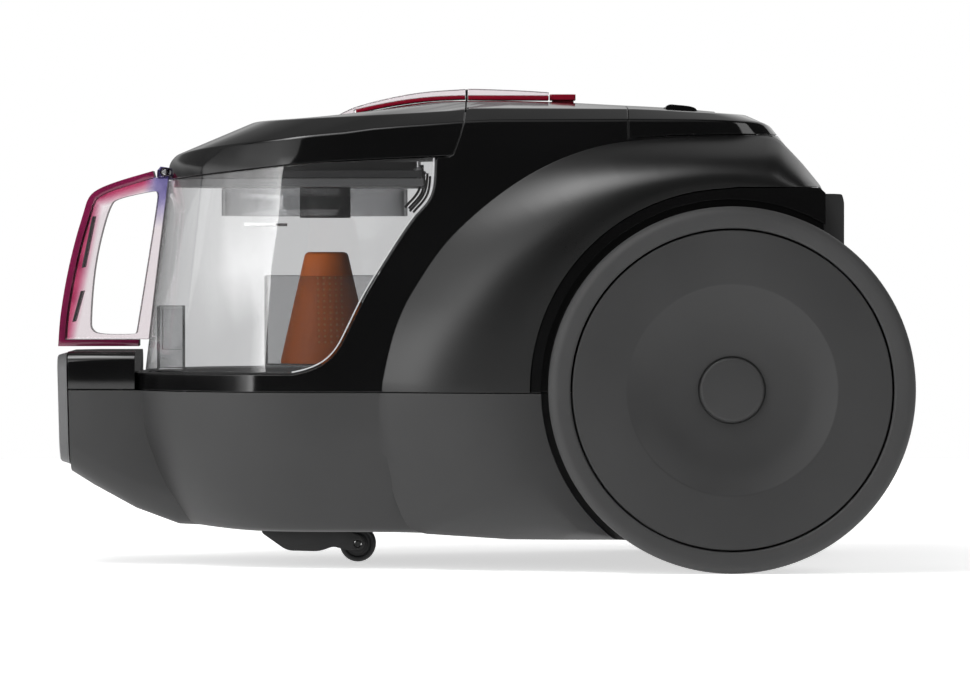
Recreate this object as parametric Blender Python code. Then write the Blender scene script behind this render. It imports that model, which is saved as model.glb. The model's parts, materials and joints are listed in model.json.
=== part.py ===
"""Canister vacuum cleaner, built as separate closed solids. Lengths below are millimetres."""
import math

import bmesh
import bpy

for old in list(bpy.data.objects):
    bpy.data.objects.remove(old, do_unlink=True)

# ---------------------------------------------------------------- driving dimensions
MM = 0.001
WALL = 2.5
GAP = 0.4
PARTING_Z = 82.0
WHEEL_X, WHEEL_Z, WHEEL_R = 116.4, 83.8, 83.8
WHEEL_IN, WHEEL_OUT = 113.0, 137.5
POCKET_R, LIP_R, FLARE_Y = 87.0, 91.7, 118.0
POCKET_FLOOR_Y = 101.0
BODY_CX, REEL_X, REEL_Z, REEL_R = -75.0, 80.0, 96.0, 60.0
MOTOR_Y, MOTOR_Z = -42.0, 92.0
CASTER_X, ROLLER_X, ROLLER_R = -78.0, -56.5, 8.5
TUBE_X, SKIRT_X, CONE_X = -72.0, -77.0, -71.4
HINGE_X, HINGE_Z = -148.0, 184.3
COVER_X, COVER_Z = 165.0, 69.0
PEDAL_X, PEDAL_Y = 95.5, 30.0
BUTTON_X = 40.5
WHEEL_SEG = 36

# side outlines, each (x, z)
BOTTOM = [(-131, 18.2), (-100, 16.8), (-40, 16.5), (0, 15.0), (15, 14.0), (68, 13.8), (160, 14.5)]
CREASE_LOW = [(-143, 192), (-130, 194.3), (-100, 198), (-80, 200.2), (-60, 202), (-50, 203.5),
              (-10, 206.5), (0, 207.4), (100, 207.8), (125, 207), (132, 206.5), (136, 205)]
CREASE_TOP = [(-105, 208), (-85, 208.6), (-62, 209.3), (-10, 212.2), (0, 213.2), (70, 213), (100, 211.6),
              (125, 210.3)]
CROWN = [(-64, 209.7), (-50, 213.1), (-40, 215.1), (-30, 216.6), (-20, 217.6), (-10, 218.0),
         (10, 218.0), (30, 217.6), (47, 216.9), (60, 216.2), (70, 215.7), (88, 214.8), (112, 212.9)]
WINDOW = [(-85, 90), (-78, 91.5), (-70, 95), (-64, 101), (-60, 108.5), (-55, 119), (-50, 129),
          (-30, 161), (-22, 169), (-19, 176), (-18.5, 190)]
LID_EDGE = [(-146, 180.6), (-120, 183.6), (-84, 187.6), (-50, 189.6), (-20, 190.9), (-12.4, 191.2)]
LID_SEAM = [(-11.2, 192), (-8.2, 200), (-6.2, 207), (-5.5, 213), (-5.2, 235)]
FLARE = [(70, 13.8), (40, 13.8), (15, 14), (0, 15), (-31, 17), (-38, 32), (-43, 52),
         (-46, 82), (-44, 92), (-40, 108), (-35, 121), (-30, 130), (-20, 145.5),
         (-10, 157), (5, 170.5), (20, 181), (35, 189), (50, 194.5),
         (65, 198), (90, 200.1), (120, 200.5), (138, 200.2), (150, 187.5),
         (159.3, 176), (159.6, 150), (110, 84)]
SEAM = [(20, 89.5), (34, 90.0), (50, 94.2), (64, 97.6), (82, 99.5), (150, 97.6), (176, 95.2),
        (188, 93.6), (207, 89.6)]
HANDLE = [(-160, 102), (-198, 102), (-197.4, 112), (-196.5, 120), (-194, 135),
          (-190, 152), (-186, 165), (-184, 172), (-180, 176), (-170, 180), (-153.2, 184.8)]
HANDLE_HOLE = [(-162.5, 107.5), (-179.5, 107.5), (-182.6, 110), (-183, 113), (-182, 130),
               (-180, 145), (-176.4, 160), (-173.5, 168.4), (-171, 171.6), (-152.5, 175.6),
               (-151, 174.5), (-151.2, 170), (-160.8, 110), (-161.2, 108.2)]
SPINE_RED = [(-57, 212.0), (-50, 213.6), (-40, 215.6), (-30, 217.1), (-20, 218.1), (-10, 218.5),
             (-5.6, 218.6)]
SPINE_CLEAR = [(-66.5, 210.6), (-60, 214.2), (-50, 217.2), (-40, 219.5), (-30, 221.4), (-20, 222.5), (-10, 223.1),
               (-5.6, 223.4)]

# ring tables: height, front tip x, plan centre x, half width, rear x, rear corner radius
UPPER = [(82.2, -167, -75, 100, 160, 30), (90, -166.5, -75, 99.9, 160, 30),
         (150, -153, -75, 98, 160, 30), (176, -146.5, -75, 95.6, 159.8, 28),
         (188, -146, -75, 94, 149.6, 26), ("low", -142.4, -75, 90, 136, 22),
         ("top", -105, -45, 79, 125, 20), ("crown", -64, -10, 42, 112, 16)]
BOWL = [(0.0, 36), (0.012, 28), (0.076, 22), (0.19, 16), (0.353, 10), (0.515, 6), (0.727, 2),
        (1.0, 0)]
BIN = [(91, -157, 99.2), (120, -153.6, 98.6), (150, -150, 97.5), (181, -146, 94.7),
       (194, -144.8, 93.2)]

# ---------------------------------------------------------------- helpers
PARTS = bpy.data.collections.new("canister_vacuum_cleaner")
CUTS = bpy.data.collections.new("cutters")
for c in (PARTS, CUTS):
    bpy.context.scene.collection.children.link(c)
MATS = {}


def material(name, colour, rough=0.5, metal=0.0, alpha=1.0):
    m = bpy.data.materials.new(name)
    m.use_nodes = True
    b = m.node_tree.nodes["Principled BSDF"]
    b.inputs["Base Color"].default_value = (*colour, 1.0)
    b.inputs["Roughness"].default_value = rough
    b.inputs["Metallic"].default_value = metal
    b.inputs["Alpha"].default_value = alpha
    m.diffuse_color = (*colour, alpha)
    MATS[name] = m


material("matte_grey", (0.07, 0.07, 0.07), 0.55)
material("gloss_black", (0.01, 0.01, 0.01), 0.1)
material("matte_black", (0.025, 0.025, 0.025), 0.45)
material("light_grey", (0.2, 0.2, 0.2), 0.45)
material("clear", (0.85, 0.87, 0.88), 0.05, alpha=0.35)
material("clear_pink", (0.8, 0.35, 0.45), 0.08, alpha=0.5)
material("crimson", (0.35, 0.01, 0.06), 0.2)
material("orange", (0.5, 0.13, 0.01), 0.4)
material("rubber", (0.03, 0.03, 0.03), 0.8)
material("foam", (0.05, 0.05, 0.06), 0.95)
material("steel", (0.55, 0.55, 0.56), 0.3, 1.0)
material("white", (0.7, 0.7, 0.68), 0.6)


def mesh_object(name, verts, faces, slot=None):
    me = bpy.data.meshes.new(name)
    me.from_pydata([(x * MM, y * MM, z * MM) for x, y, z in verts], [], faces)
    bm = bmesh.new()
    bm.from_mesh(me)
    bmesh.ops.triangulate(bm, faces=bm.faces)
    bmesh.ops.recalc_face_normals(bm, faces=bm.faces)
    if bm.calc_volume(signed=True) < 0:
        bmesh.ops.reverse_faces(bm, faces=bm.faces)
    bm.to_mesh(me)
    bm.free()
    ob = bpy.data.objects.new(name, me)
    if slot:
        me.materials.append(MATS[slot])
        PARTS.objects.link(ob)
    else:
        CUTS.objects.link(ob)
        ob.hide_render = True
        ob.display_type = "WIRE"
    return ob


def table(tab, x):
    if x <= tab[0][0]:
        return tab[0][1]
    for (x0, z0), (x1, z1) in zip(tab, tab[1:]):
        if x <= x1:
            return z0 + (z1 - z0) * (x - x0) / (x1 - x0)
    return tab[-1][1]


def stack(name, rings, slot=None, closed=False):
    """Skin a list of equal rings; the ends are capped, or joined to each other when closed."""
    n = len(rings[0])
    verts = [p for r in rings for p in r]
    faces = []
    for k in range(len(rings) - (0 if closed else 1)):
        a, b = k * n, ((k + 1) % len(rings)) * n
        faces += [(a + i, a + (i + 1) % n, b + (i + 1) % n, b + i) for i in range(n)]
    if not closed:
        faces += [tuple(range(n)), tuple((len(rings) - 1) * n + i for i in range(n))]
    return mesh_object(name, verts, faces, slot)


def prism(name, outline, y0, y1, slot=None):
    return stack(name, [[(x, y, z) for x, z in outline] for y in (y0, y1)], slot)


def box(name, x0, x1, y0, y1, z0, z1, slot=None):
    return prism(name, [(x0, z0), (x1, z0), (x1, z1), (x0, z1)], y0, y1, slot)


def turned(name, axis, centre, profile, seg, slot=None):
    """Turn (radius, station) points about a line along one axis through centre."""
    rings = []
    for k in range(seg):
        t = 2 * math.pi * k / seg
        c, s = math.cos(t), math.sin(t)
        ring = []
        for r, h in profile:
            if axis == "y":
                ring.append((centre[0] + r * c, h, centre[1] + r * s))
            elif axis == "x":
                ring.append((h, centre[0] + r * c, centre[1] + r * s))
            else:
                ring.append((centre[0] + r * c, centre[1] + r * s, h))
        rings.append(ring)
    n, verts, faces = len(profile), [p for r in rings for p in r], []
    for k in range(seg):
        a, b = k * n, ((k + 1) % seg) * n
        for i in range(n):
            faces.append((a + i, a + (i + 1) % n, b + (i + 1) % n, b + i))
    return mesh_object(name, verts, faces, slot)


def lathe(name, axis, centre, profile, seg, slot=None):
    """Stack circles of (radius, station) along an axis; the first and last are closed."""
    rings = []
    for r, h in profile:
        ring = []
        for k in range(seg):
            t = 2 * math.pi * k / seg
            c, s = r * math.cos(t), r * math.sin(t)
            ring.append({"y": (centre[0] + c, h, centre[1] + s),
                         "x": (h, centre[0] + c, centre[1] + s),
                         "z": (centre[0] + c, centre[1] + s, h)}[axis])
        rings.append(ring)
    return stack(name, rings, slot)


def rod(name, axis, centre, r, h0, h1, seg=20, slot=None):
    return lathe(name, axis, centre, [(r, h0), (r, h1)], seg, slot)


def tube(name, axis, centre, r_out, r_in, h0, h1, seg=24, slot=None):
    return turned(name, axis, centre, [(r_in, h0), (r_out, h0), (r_out, h1), (r_in, h1)], seg, slot)


def offset(poly, d, closed=True):
    """Move an outline d to the left of its direction of travel."""
    out, n = [], len(poly)
    for i in range(n):
        ends = []
        for j, k in ((i - 1, i), (i, i + 1)):
            if closed:
                a, b = poly[j % n], poly[k % n]
            elif j < 0 or k > n - 1:
                continue
            else:
                a, b = poly[j], poly[k]
            length = math.hypot(b[0] - a[0], b[1] - a[1])
            ends.append((-(b[1] - a[1]) / length, (b[0] - a[0]) / length))
        if len(ends) == 1:
            nx, nz, m = ends[0][0], ends[0][1], 1.0
        else:
            nx, nz = ends[0][0] + ends[1][0], ends[0][1] + ends[1][1]
            m = 2.0 / max(nx * nx + nz * nz, 0.5)
        out.append((poly[i][0] + nx * m * d, poly[i][1] + nz * m * d))
    return out


def cut(ob, cutter, op="DIFFERENCE"):
    m = ob.modifiers.new(cutter.name, "BOOLEAN")
    m.operation = op
    m.solver = "EXACT"
    m.object = cutter
    return ob


def plan(tip, cx, hw, xr, rc, zf):
    """A plan ring: elliptic front, straight flanks, rounded rear corners."""
    right = []
    for i in range(10):
        t = math.pi / 2 * i / 9
        right.append((cx - (cx - tip) * math.cos(t), hw * math.sin(t)))
    for i in range(1, 5):
        right.append((cx + (xr - rc - cx) * i / 4, hw))
    for i in range(1, 4):
        a = math.pi / 2 * i / 3
        right.append((xr - rc + rc * math.sin(a), hw - rc + rc * math.cos(a)))
    right.append((xr + 0.25, 0.0))
    ring = right + [(x, -y) for x, y in right[-2:0:-1]]
    return [(x, y, zf(x)) for x, y in ring]


def capped(name, rings, crown=None, slot=None):
    """Skin plan rings; both ends are closed with strips across the width."""
    n = len(rings[0])
    half = n // 2
    verts, faces = [p for r in rings for p in r], []
    for k in range(len(rings) - 1):
        a, b = k * n, (k + 1) * n
        faces += [(a + i, a + (i + 1) % n, b + (i + 1) % n, b + i) for i in range(n)]
    for k in (0, len(rings) - 1):
        a = k * n
        if k and crown:
            mid = [a] + [len(verts) + i for i in range(half - 1)] + [a + half]
            verts += [(rings[k][i][0], 0.0, crown(rings[k][i][0])) for i in range(1, half)]
            for i in range(half):
                for p, q in ((a + i, a + i + 1), (a + (n - i) % n, a + n - i - 1)):
                    f = [p, q, mid[i + 1], mid[i]]
                    faces.append(tuple(dict.fromkeys(f)))
        else:
            faces += [(a + i, a + i + 1, a + n - i - 1, a + n - i) for i in range(1, half - 1)]
            faces += [(a, a + 1, a + n - 1), (a + half - 1, a + half, a + half + 1)]
    return mesh_object(name, verts, faces, slot)


def upper_form(name, off, slot=None, floor=None):
    heights = {"low": lambda x: table(CREASE_LOW, x) - off,
               "top": lambda x: table(CREASE_TOP, x) - off,
               "crown": lambda x: table(CROWN, x) - 1.2 - off}
    rings = []
    for i, (h, tip, cx, hw, xr, rc) in enumerate(UPPER):
        zf = heights[h] if isinstance(h, str) else (lambda x, h=h: h)
        if i == 0 and floor is not None:
            zf = lambda x: floor
        rings.append(plan(tip + off, cx, hw - off, xr - off, rc - off, zf))
    return capped(name, rings, lambda x: table(CROWN, x) - off, slot)


def lower_form(name, off, slot=None, top=90):
    rings = []
    for s, d in BOWL + [(None, 0)]:
        def zf(x, s=s):
            if s is None:
                return top
            b = table(BOTTOM, x) + off
            return b + (PARTING_Z - b) * s
        rings.append(plan(-167 + d + off, BODY_CX, 100 - 0.85 * d - off, 160 - 0.9 * d - off,
                          30 - off, zf))
    return capped(name, rings, None, slot)


def bin_form(name, off, z0=None, z1=None, slot=None):
    rows, rings = list(BIN), []
    for end, near, z in ((0, 1, z0), (-1, -2, z1)):
        if z is not None:
            (za, ta, ha), (zb, tb, hb) = rows[end], rows[near]
            q = (z - za) / (zb - za)
            rows[end] = (z, ta + (tb - ta) * q, ha + (hb - ha) * q)
    for z, tip, hw in rows:
        rings.append(plan(tip + off, BODY_CX, hw - off, 30, 8, lambda x, z=z: z))
    return capped(name, rings, None, slot)


def flare_form(name, side, off):
    """The swelling round a wheel: it leaves the body at its outline and flattens onto the arch."""
    rings = []
    for g in (None, 0.0, 0.25, 0.5, 0.75, 1.0):
        ring = []
        for x, z in FLARE:
            dx, dz = x - WHEEL_X, z - WHEEL_Z
            r = math.hypot(dx, dz)
            ro = r - off
            ra = min(LIP_R + 3.0 - off, ro - 0.5)
            q = (ro + (ra - ro) * (g or 0.0)) / r
            px, pz = WHEEL_X + dx * q, WHEEL_Z + dz * q
            if r < 60:
                px, pz = x, z
            elif off == 0:
                px, pz = min(px, 159.6), max(pz, 13.8 + 1.2 * (g or 0.0))
            y = 87.0 - (5.0 if off else 0.0)
            if g is not None:
                y0 = table(SEAM, z)
                y = y0 + (FLARE_Y - y0) * g * (2.0 - g)
            ring.append((px, side * (y - off), pz))
        rings.append(ring)
    return stack(name, rings)


def arch_outline(r):
    pts = [(WHEEL_X - r, 82.2)]
    for i in range(1, 12):
        t = math.radians(180 - 87 * i / 11)
        pts.append((WHEEL_X + r * math.cos(t), WHEEL_Z + r * math.sin(t)))
    e = r - LIP_R
    return pts + [(120, 176.2 + e), (157 + e, 176.2 + e), (159.6 + e, 173.8 + e), (159.6 + e, 82.2)]


def nose_ring(x, z0, z1, hw, rb, rt, tilt=0.0):
    pts = []
    corners = [(-hw, z0, rb, 180), (hw, z0, rb, 270), (hw, z1, rt, 0), (-hw, z1, rt, 90)]
    for y, z, r, a0 in corners:
        cy, cz = y - math.copysign(r, y), z + (r if a0 in (180, 270) else -r)
        for k in range(5):
            a = math.radians(a0 + 90 * k / 4)
            pts.append((x, cy + r * math.cos(a), cz + r * math.sin(a)))
    return [(px + (99 - pz) * tilt, y, pz) for px, y, pz in pts]


def helix(name, x, y, z0, z1, r, wire, turns, slot):
    rings, steps = [], turns * 10
    for k in range(steps + 1):
        t = 2 * math.pi * k / 10
        h = z0 + wire + (z1 - z0 - 2 * wire) * k / steps
        ring = []
        for j in range(5):
            a = 2 * math.pi * j / 5
            rr = r + wire * math.cos(a)
            ring.append((x + rr * math.cos(t), y + rr * math.sin(t), h + wire * math.sin(a)))
        rings.append(ring)
    return stack(name, rings, slot)


def mirrored(pair):
    return (("left", -1, pair), ("right", 1, pair))


# ---------------------------------------------------------------- base shell
bowl_in = lower_form("bowl_inside", WALL, top=96)
nose_in = stack("nose_inside", [
    nose_ring(-189.4, 46.3, 96, 38.5, 11.5, 2, 0.025), nose_ring(-180, 39.8, 96, 40.5, 11.5, 2),
    nose_ring(-160, 28.9, 96, 41.5, 11.5, 2), nose_ring(-140, 21.6, 96, 41.5, 11.5, 2),
    nose_ring(-126, 21.2, 96, 41.5, 11.5, 2)])
nose_low = stack("nose_outside", [
    nose_ring(-191.9, 43.8, 92, 41, 14, 0.5, 0.025), nose_ring(-180, 37.3, 92, 43, 14, 0.5),
    nose_ring(-160, 26.4, 92, 44, 14, 0.5), nose_ring(-140, 19.0, 92, 44, 14, 0.5),
    nose_ring(-128, 18.4, 92, 44, 14, 0.5)])
above = box("above_parting", -260, 260, -160, 160, PARTING_Z - 0.2, 300)
below = box("below_parting", -260, 260, -160, 160, -60, PARTING_Z + 0.3)

base = lower_form("base_shell", 0.0, "matte_grey")
cut(base, nose_low, "UNION")
for side, s, _ in mirrored(0):
    cut(base, flare_form("lower_flare_" + side, s, 0.0), "UNION")
cut(base, above)
cut(base, bowl_in)
cut(base, nose_in)
for side, s, _ in mirrored(0):
    f = flare_form("lower_flare_inside_" + side, s, WALL)
    cut(f, rod("arch_tube_" + side, "y", (WHEEL_X, WHEEL_Z), POCKET_R + WALL, s * 60, s * 140, 48))
    cut(base, f)
    cut(base, rod("wheel_pocket_" + side, "y", (WHEEL_X, WHEEL_Z), POCKET_R, s * POCKET_FLOOR_Y,
                  s * 150, 48))
    cut(base, rod("axle_boss_" + side, "y", (WHEEL_X, WHEEL_Z), 22, s * 90, s * 106, 24), "UNION")
    cut(base, rod("axle_bore_" + side, "y", (WHEEL_X, WHEEL_Z), 6.2, s * 80, s * 120, 16))
cut(base, rod("caster_boss", "z", (CASTER_X, 0), 36.5, 18.8, 23, 32), "UNION")
cut(base, rod("caster_post", "z", (CASTER_X, 0), 9, 21, 38, 20), "UNION")
cut(base, rod("caster_recess", "z", (CASTER_X, 0), 34, 5, 19.8, 32))
cut(base, rod("caster_bore", "z", (CASTER_X, 0), 5.2, 5, 35, 16))
rib = box("fan_cradle", 9, 15, -84, 4, 16, 80)
cut(rib, rod("fan_seat", "x", (MOTOR_Y, MOTOR_Z), 47.4, 0, 30, 32))
cut(base, rib, "UNION")
rib = box("motor_cradle", 98, 104, -78, -4, 16, 72)
cut(rib, rod("motor_seat", "x", (MOTOR_Y, MOTOR_Z), 39.7, 90, 110, 32))
cut(base, rib, "UNION")
reel_post = box("reel_post_inner", 70, 90, 4.6, 7.8, 16, 106)
cut(base, reel_post, "UNION")
cut(base, box("reel_post_outer", 72, 88, 85, 96.4, 62, 104), "UNION")
cut(base, rod("reel_axle_bore", "y", (REEL_X, REEL_Z), 6.2, 0, 92, 16))
for side, s, _ in mirrored(0):
    cut(base, box("cover_lug_" + side, 150, 168, min(s * 52.6, s * 57), max(s * 52.6, s * 57),
                  65.6, 72.4), "UNION")
cut(base, rod("cover_pin_bore", "y", (COVER_X, COVER_Z), 1.8, -55.5, 55.5, 12))
cut(base, rod("hose_bore_low", "x", (0, 73), 18.6, -200, -184, 32))

# ---------------------------------------------------------------- upper housing
edge_up = WINDOW
H = [(-185, 82.2), (-185, 90)] + edge_up
H += [(-12.6, 190.5), (-10.6, 191.8)] + [(x + GAP + 0.2, z) for x, z in LID_SEAM[1:]]
H += [(69.6, 235), (69.6, 198.8), (90, 200.2), (120, 200.7), (140, 200.5), (190, 200.5),
      (190, 82.2)]
H_in = [(x, 60 if z < 86 else z) for x, z in offset(H, -WALL)]
housing = upper_form("upper_housing", 0.0, "gloss_black")
cut(housing, prism("housing_outline", H, -130, 130), "INTERSECT")
for side, s, _ in mirrored(0):
    a = prism("arch_" + side, arch_outline(LIP_R), s * 97.6, s * (FLARE_Y - 0.6))
    cut(a, rod("arch_pocket_" + side, "y", (WHEEL_X, WHEEL_Z), POCKET_R, s * POCKET_FLOOR_Y,
               s * 150, 48))
    cut(housing, a, "UNION")
hollow = upper_form("housing_inside", WALL, floor=60)
cut(hollow, prism("housing_inside_outline", H_in, -130, 130), "INTERSECT")
cut(hollow, box("channel_wall", -120, -41.5, -32.5, 32.5, 87.5, 150))
cut(housing, hollow)
cut(housing, box("channel", -100, -44, -30, 30, 90, 150))
cut(housing, rod("channel_port", "x", (0, 110), 11, -50, -38, 20))
cut(housing, box("duct_opening", -155.6, -136.4, -19.4, 19.4, 80, 95))
for side, s, _ in mirrored(0):
    cut(housing, rod("boss_notch_" + side, "y", (WHEEL_X, WHEEL_Z), 22.5, s * 80, s * 120, 24))
cut(housing, box("filter_opening", 150, 170, -46.5, 46.5, 92, 160))
cut(housing, box("button_opening", BUTTON_X - 6.7, BUTTON_X + 6.5, -10.4, 10.4, 208, 240))
tower = box("button_tower", 28, 53, -11, 11, 193.5, 216)
cut(tower, box("button_room", 30.5, 50.5, -20, 20, 196, 240))
cut(housing, tower, "UNION")
for side, s, _ in mirrored(0):
    cut(housing, rod("pedal_bore_" + side, "z", (PEDAL_X, s * PEDAL_Y), 4.3, 185, 210, 16))
for x0 in (PEDAL_X - 17, PEDAL_X + 13.3):
    cut(housing, box("switch_clip", x0, x0 + 3.7, -38, -22, 172, 199), "UNION")
for y0 in (22.6, 34.6):
    cut(housing, box("brake_lug", 76, 86, y0, y0 + 2.8, 174, 199), "UNION")
cut(housing, rod("brake_bore", "y", (81, 178.5), 1.9, 20, 40, 12))
cut(housing, rod("cord_opening", "x", (64, 112), 7.4, 150, 170, 20))

# ---------------------------------------------------------------- nose
nose = stack("nose_cover", [
    nose_ring(-191.9, 82.3, 99.8, 41, 0.5, 6, 0.025), nose_ring(-180, 82.3, 100, 43, 0.5, 6),
    nose_ring(-160.2, 82.3, 100, 44, 0.5, 6)], "gloss_black")
cut(nose, stack("nose_cover_inside", [
    nose_ring(-189.4, 70, 97.3, 38.5, 1, 4, 0.025), nose_ring(-180, 70, 97.5, 40.5, 1, 4),
    nose_ring(-163, 70, 97.5, 41.5, 1, 4)]))
cut(nose, capped("tray_slab", [plan(-167.4, -75, 100.4, 160.4, 30, lambda x, z=z: z)
                               for z in (70, 90.5)]))
cut(nose, rod("hose_bore_high", "x", (0, 73), 18.6, -200, -184, 32))

bezel = stack("hose_inlet_bezel", [
    nose_ring(-197.0, 47.9, 98.6, 38, 12, 9, 0.025), nose_ring(-192.5, 46.9, 99.2, 39.5, 13, 9, 0.025)],
    "light_grey")
cut(bezel, rod("hose_bore_bezel", "x", (0, 73), 17.4, -210, -180, 32))

DUCT = [(-190.0, 73, 1.4, 17.2, 17.2), (-180, 71.5, -8, 16, 17.6), (-168, 68.5, 0, 12.5, 18),
        (-157, 69.8, 25, 10.5, 18.3), (-149.5, 76, 60, 9.3, 18.5), (-146, 84, 88, 9, 18.7),
        (-146, 89.7, 90, 9, 18.7)]


def duct_rings(shrink):
    rings = []
    for i, (x, z, a, h, w) in enumerate(DUCT):
        a, sq, ring = math.radians(a), min(i / 4, 1.0), []
        for k in range(20):
            t = 2 * math.pi * k / 20
            c, s = math.cos(t), math.sin(t)
            p = 1.0 - 0.55 * sq
            u = math.copysign(abs(c) ** p, c) * (h - shrink)
            v = math.copysign(abs(s) ** p, s) * (w - shrink)
            ring.append((x - u * math.sin(a), v, z + u * math.cos(a)))
        rings.append(ring)
    return rings


stack("inlet_duct", duct_rings(0) + duct_rings(1.8)[::-1], "matte_black", closed=True)

# ---------------------------------------------------------------- fenders
body_skin = upper_form("body_skin", -0.35, floor=70)
for side, s, _ in mirrored(0):
    f = flare_form("fender_" + side, s, 0.0)
    CUTS.objects.unlink(f)
    PARTS.objects.link(f)
    f.hide_render = False
    f.display_type = "TEXTURED"
    f.data.materials.append(MATS["matte_black"])
    cut(f, below)
    cut(f, flare_form("fender_inside_" + side, s, WALL))
    cut(f, body_skin)
    line = arch_outline(LIP_R + 0.4)
    line = [(line[0][0], 60)] + line[:-1] + [(line[-1][0], 60)]
    cut(f, prism("fender_arch_" + side, line, s * 80, s * 140))

# ---------------------------------------------------------------- rear cover, pedals, button
cover_side = [(70, 199.3), (90, 200.7), (120, 201.2), (139, 201.0), (170, 201.0), (170, 235),
              (70, 235)]
cover = upper_form("rear_top_cover", 0.0, "gloss_black")
cut(cover, prism("cover_outline", cover_side, -130, 130), "INTERSECT")
room = upper_form("cover_inside", WALL)
cut(room, box("cover_inside_box", 72.5, 170, -130, 130, 180, 240), "INTERSECT")
cut(cover, room)
for side, s, name in (("left", -1, "power"), ("right", 1, "rewind")):
    y = s * PEDAL_Y
    cut(cover, box("pedal_opening_" + side, PEDAL_X - 8, PEDAL_X + 8, y - 13, y + 13, 205, 230))
    p = box(name + "_pedal", PEDAL_X - 10, PEDAL_X + 10, y - 15, y + 15, 207.2, 209.2, "gloss_black")
    crown = [(PEDAL_X - 7.6, 208), (PEDAL_X + 7.6, 208), (PEDAL_X + 7.6, 213.3),
             (PEDAL_X + 5.5, 214.5), (PEDAL_X + 2, 215.1), (PEDAL_X - 2, 215.4),
             (PEDAL_X - 5.5, 215.8), (PEDAL_X - 7.6, 214.6)]
    cut(p, prism("pedal_crown_" + side, crown, y - 12.6, y + 12.6), "UNION")
    end = 190.6 if s < 0 else 183.2
    cut(p, rod("pedal_stem_" + side, "z", (PEDAL_X, y), 3.6, end, 208.5, 16), "UNION")
    helix(name + "_spring", PEDAL_X, y, 200.9, 207.0, 6.2, 0.45, 3, "steel")

box("power_switch", PEDAL_X - 13, PEDAL_X + 13, -39, -21, 173, 187.0, "white")
lever = prism("reel_brake_lever", [(52, 180.5), (52, 176), (58, 176), (62, 158), (70, 156.9),
                                   (71, 160), (68.5, 176), (100, 176), (102, 178), (102, 182.2),
                                   (81, 182.2)], 25.8, 34.2, "matte_black")
cut(lever, rod("lever_bore", "y", (81, 178.5), 1.9, 20, 40, 12))
rod("brake_pivot_pin", "y", (81, 178.5), 1.6, 22.8, 37.2, 12, "steel")

button = box("release_button", BUTTON_X - 5.1, BUTTON_X + 5.1, -7.1, 7.1, 206, 218.4, "crimson")
cut(button, box("button_cap", BUTTON_X - 6.2, BUTTON_X + 6, -10, 10, 218.2, 221.0), "UNION")
cut(button, box("button_foot", BUTTON_X - 8.6, BUTTON_X + 8.6, -9.4, 9.4, 204, 206.5), "UNION")
helix("release_spring", BUTTON_X, 0, 196.2, 203.8, 5.2, 0.5, 4, "steel")

prism("top_trim_red", [(-4.4, 218.4), (33.8, 218.2), (33.8, 220.2), (-4.4, 220.3)], -12, 12,
      "crimson")
prism("top_trim_clear", [(-4.4, 220.6), (33.8, 220.5), (33.8, 221.9), (20, 222.8), (0, 223.5),
                         (-4.4, 223.5)], -12.5, 12.5, "clear_pink")

# ---------------------------------------------------------------- wheels
for side, s, _ in mirrored(0):
    def yy(pts):
        return [(r, s * h) for r, h in pts]
    c = (WHEEL_X, WHEEL_Z)
    turned(side + "_wheel_disc", "y", c, yy([
        (6.4, 113), (11, 113), (12, 125), (38, 128.2), (47, 132.8), (69.6, 133.6), (69.6, 114),
        (73.2, 114), (73.2, 136.6), (49, 136.7), (46, 135.4), (34, 130.2), (6.4, 128.4)]),
        WHEEL_SEG, "matte_grey")
    turned(side + "_tyre", "y", c, yy([
        (73.6, 114.0), (81, 113.0), (83.8, 116.5), (83.8, 134.4), (80.6, 137.5), (73.6, 136.9)]),
        WHEEL_SEG, "rubber")
    lathe(side + "_hub_cap", "y", c, yy([(14.7, 129.4), (14.7, 130.8), (13, 131.7), (5, 132.4)]),
          24, "matte_grey")
    rod("axle_" + side, "y", c, 5.9, s * 86.0, s * 127.6, 16, "steel")

# ---------------------------------------------------------------- caster
fork = prism("caster_fork", [(-102, 15.4), (-101.6, 13.6), (-90, 5.4), (-74.5, 5.0), (-68, 7.4),
                             (-62, 5.6), (-54.5, 5.6), (-52.6, 8.6), (-54.5, 12.2), (-64, 15.4)],
             -9.6, 9.6, "matte_grey")
cut(fork, box("roller_slot", -67, -40, -6.6, 6.6, -5, 30))
cut(fork, rod("fork_boss", "z", (CASTER_X, 0), 8.5, 12, 19.4, 20), "UNION")
cut(fork, rod("fork_bore", "z", (CASTER_X, 0), 5.2, 8, 30, 16))
cut(fork, rod("fork_axle_bore", "y", (ROLLER_X, ROLLER_R), 1.8, -20, 20, 12))
rod("caster_pivot_pin", "z", (CASTER_X, 0), 4.9, 8.4, 34.4, 16, "steel")
rod("caster_axle", "y", (ROLLER_X, ROLLER_R), 1.5, -9.4, 9.4, 12, "steel")
turned("caster_roller", "y", (ROLLER_X, ROLLER_R), [(1.8, -6), (7.6, -6), (8.5, -5), (8.5, 5),
                                                   (7.6, 6), (1.8, 6)], 24, "rubber")
skid = prism("bottom_skid", [(14, 13.55), (17, 11.9), (53, 11.9), (56, 13.35)], -24, 24,
             "matte_black")

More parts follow.
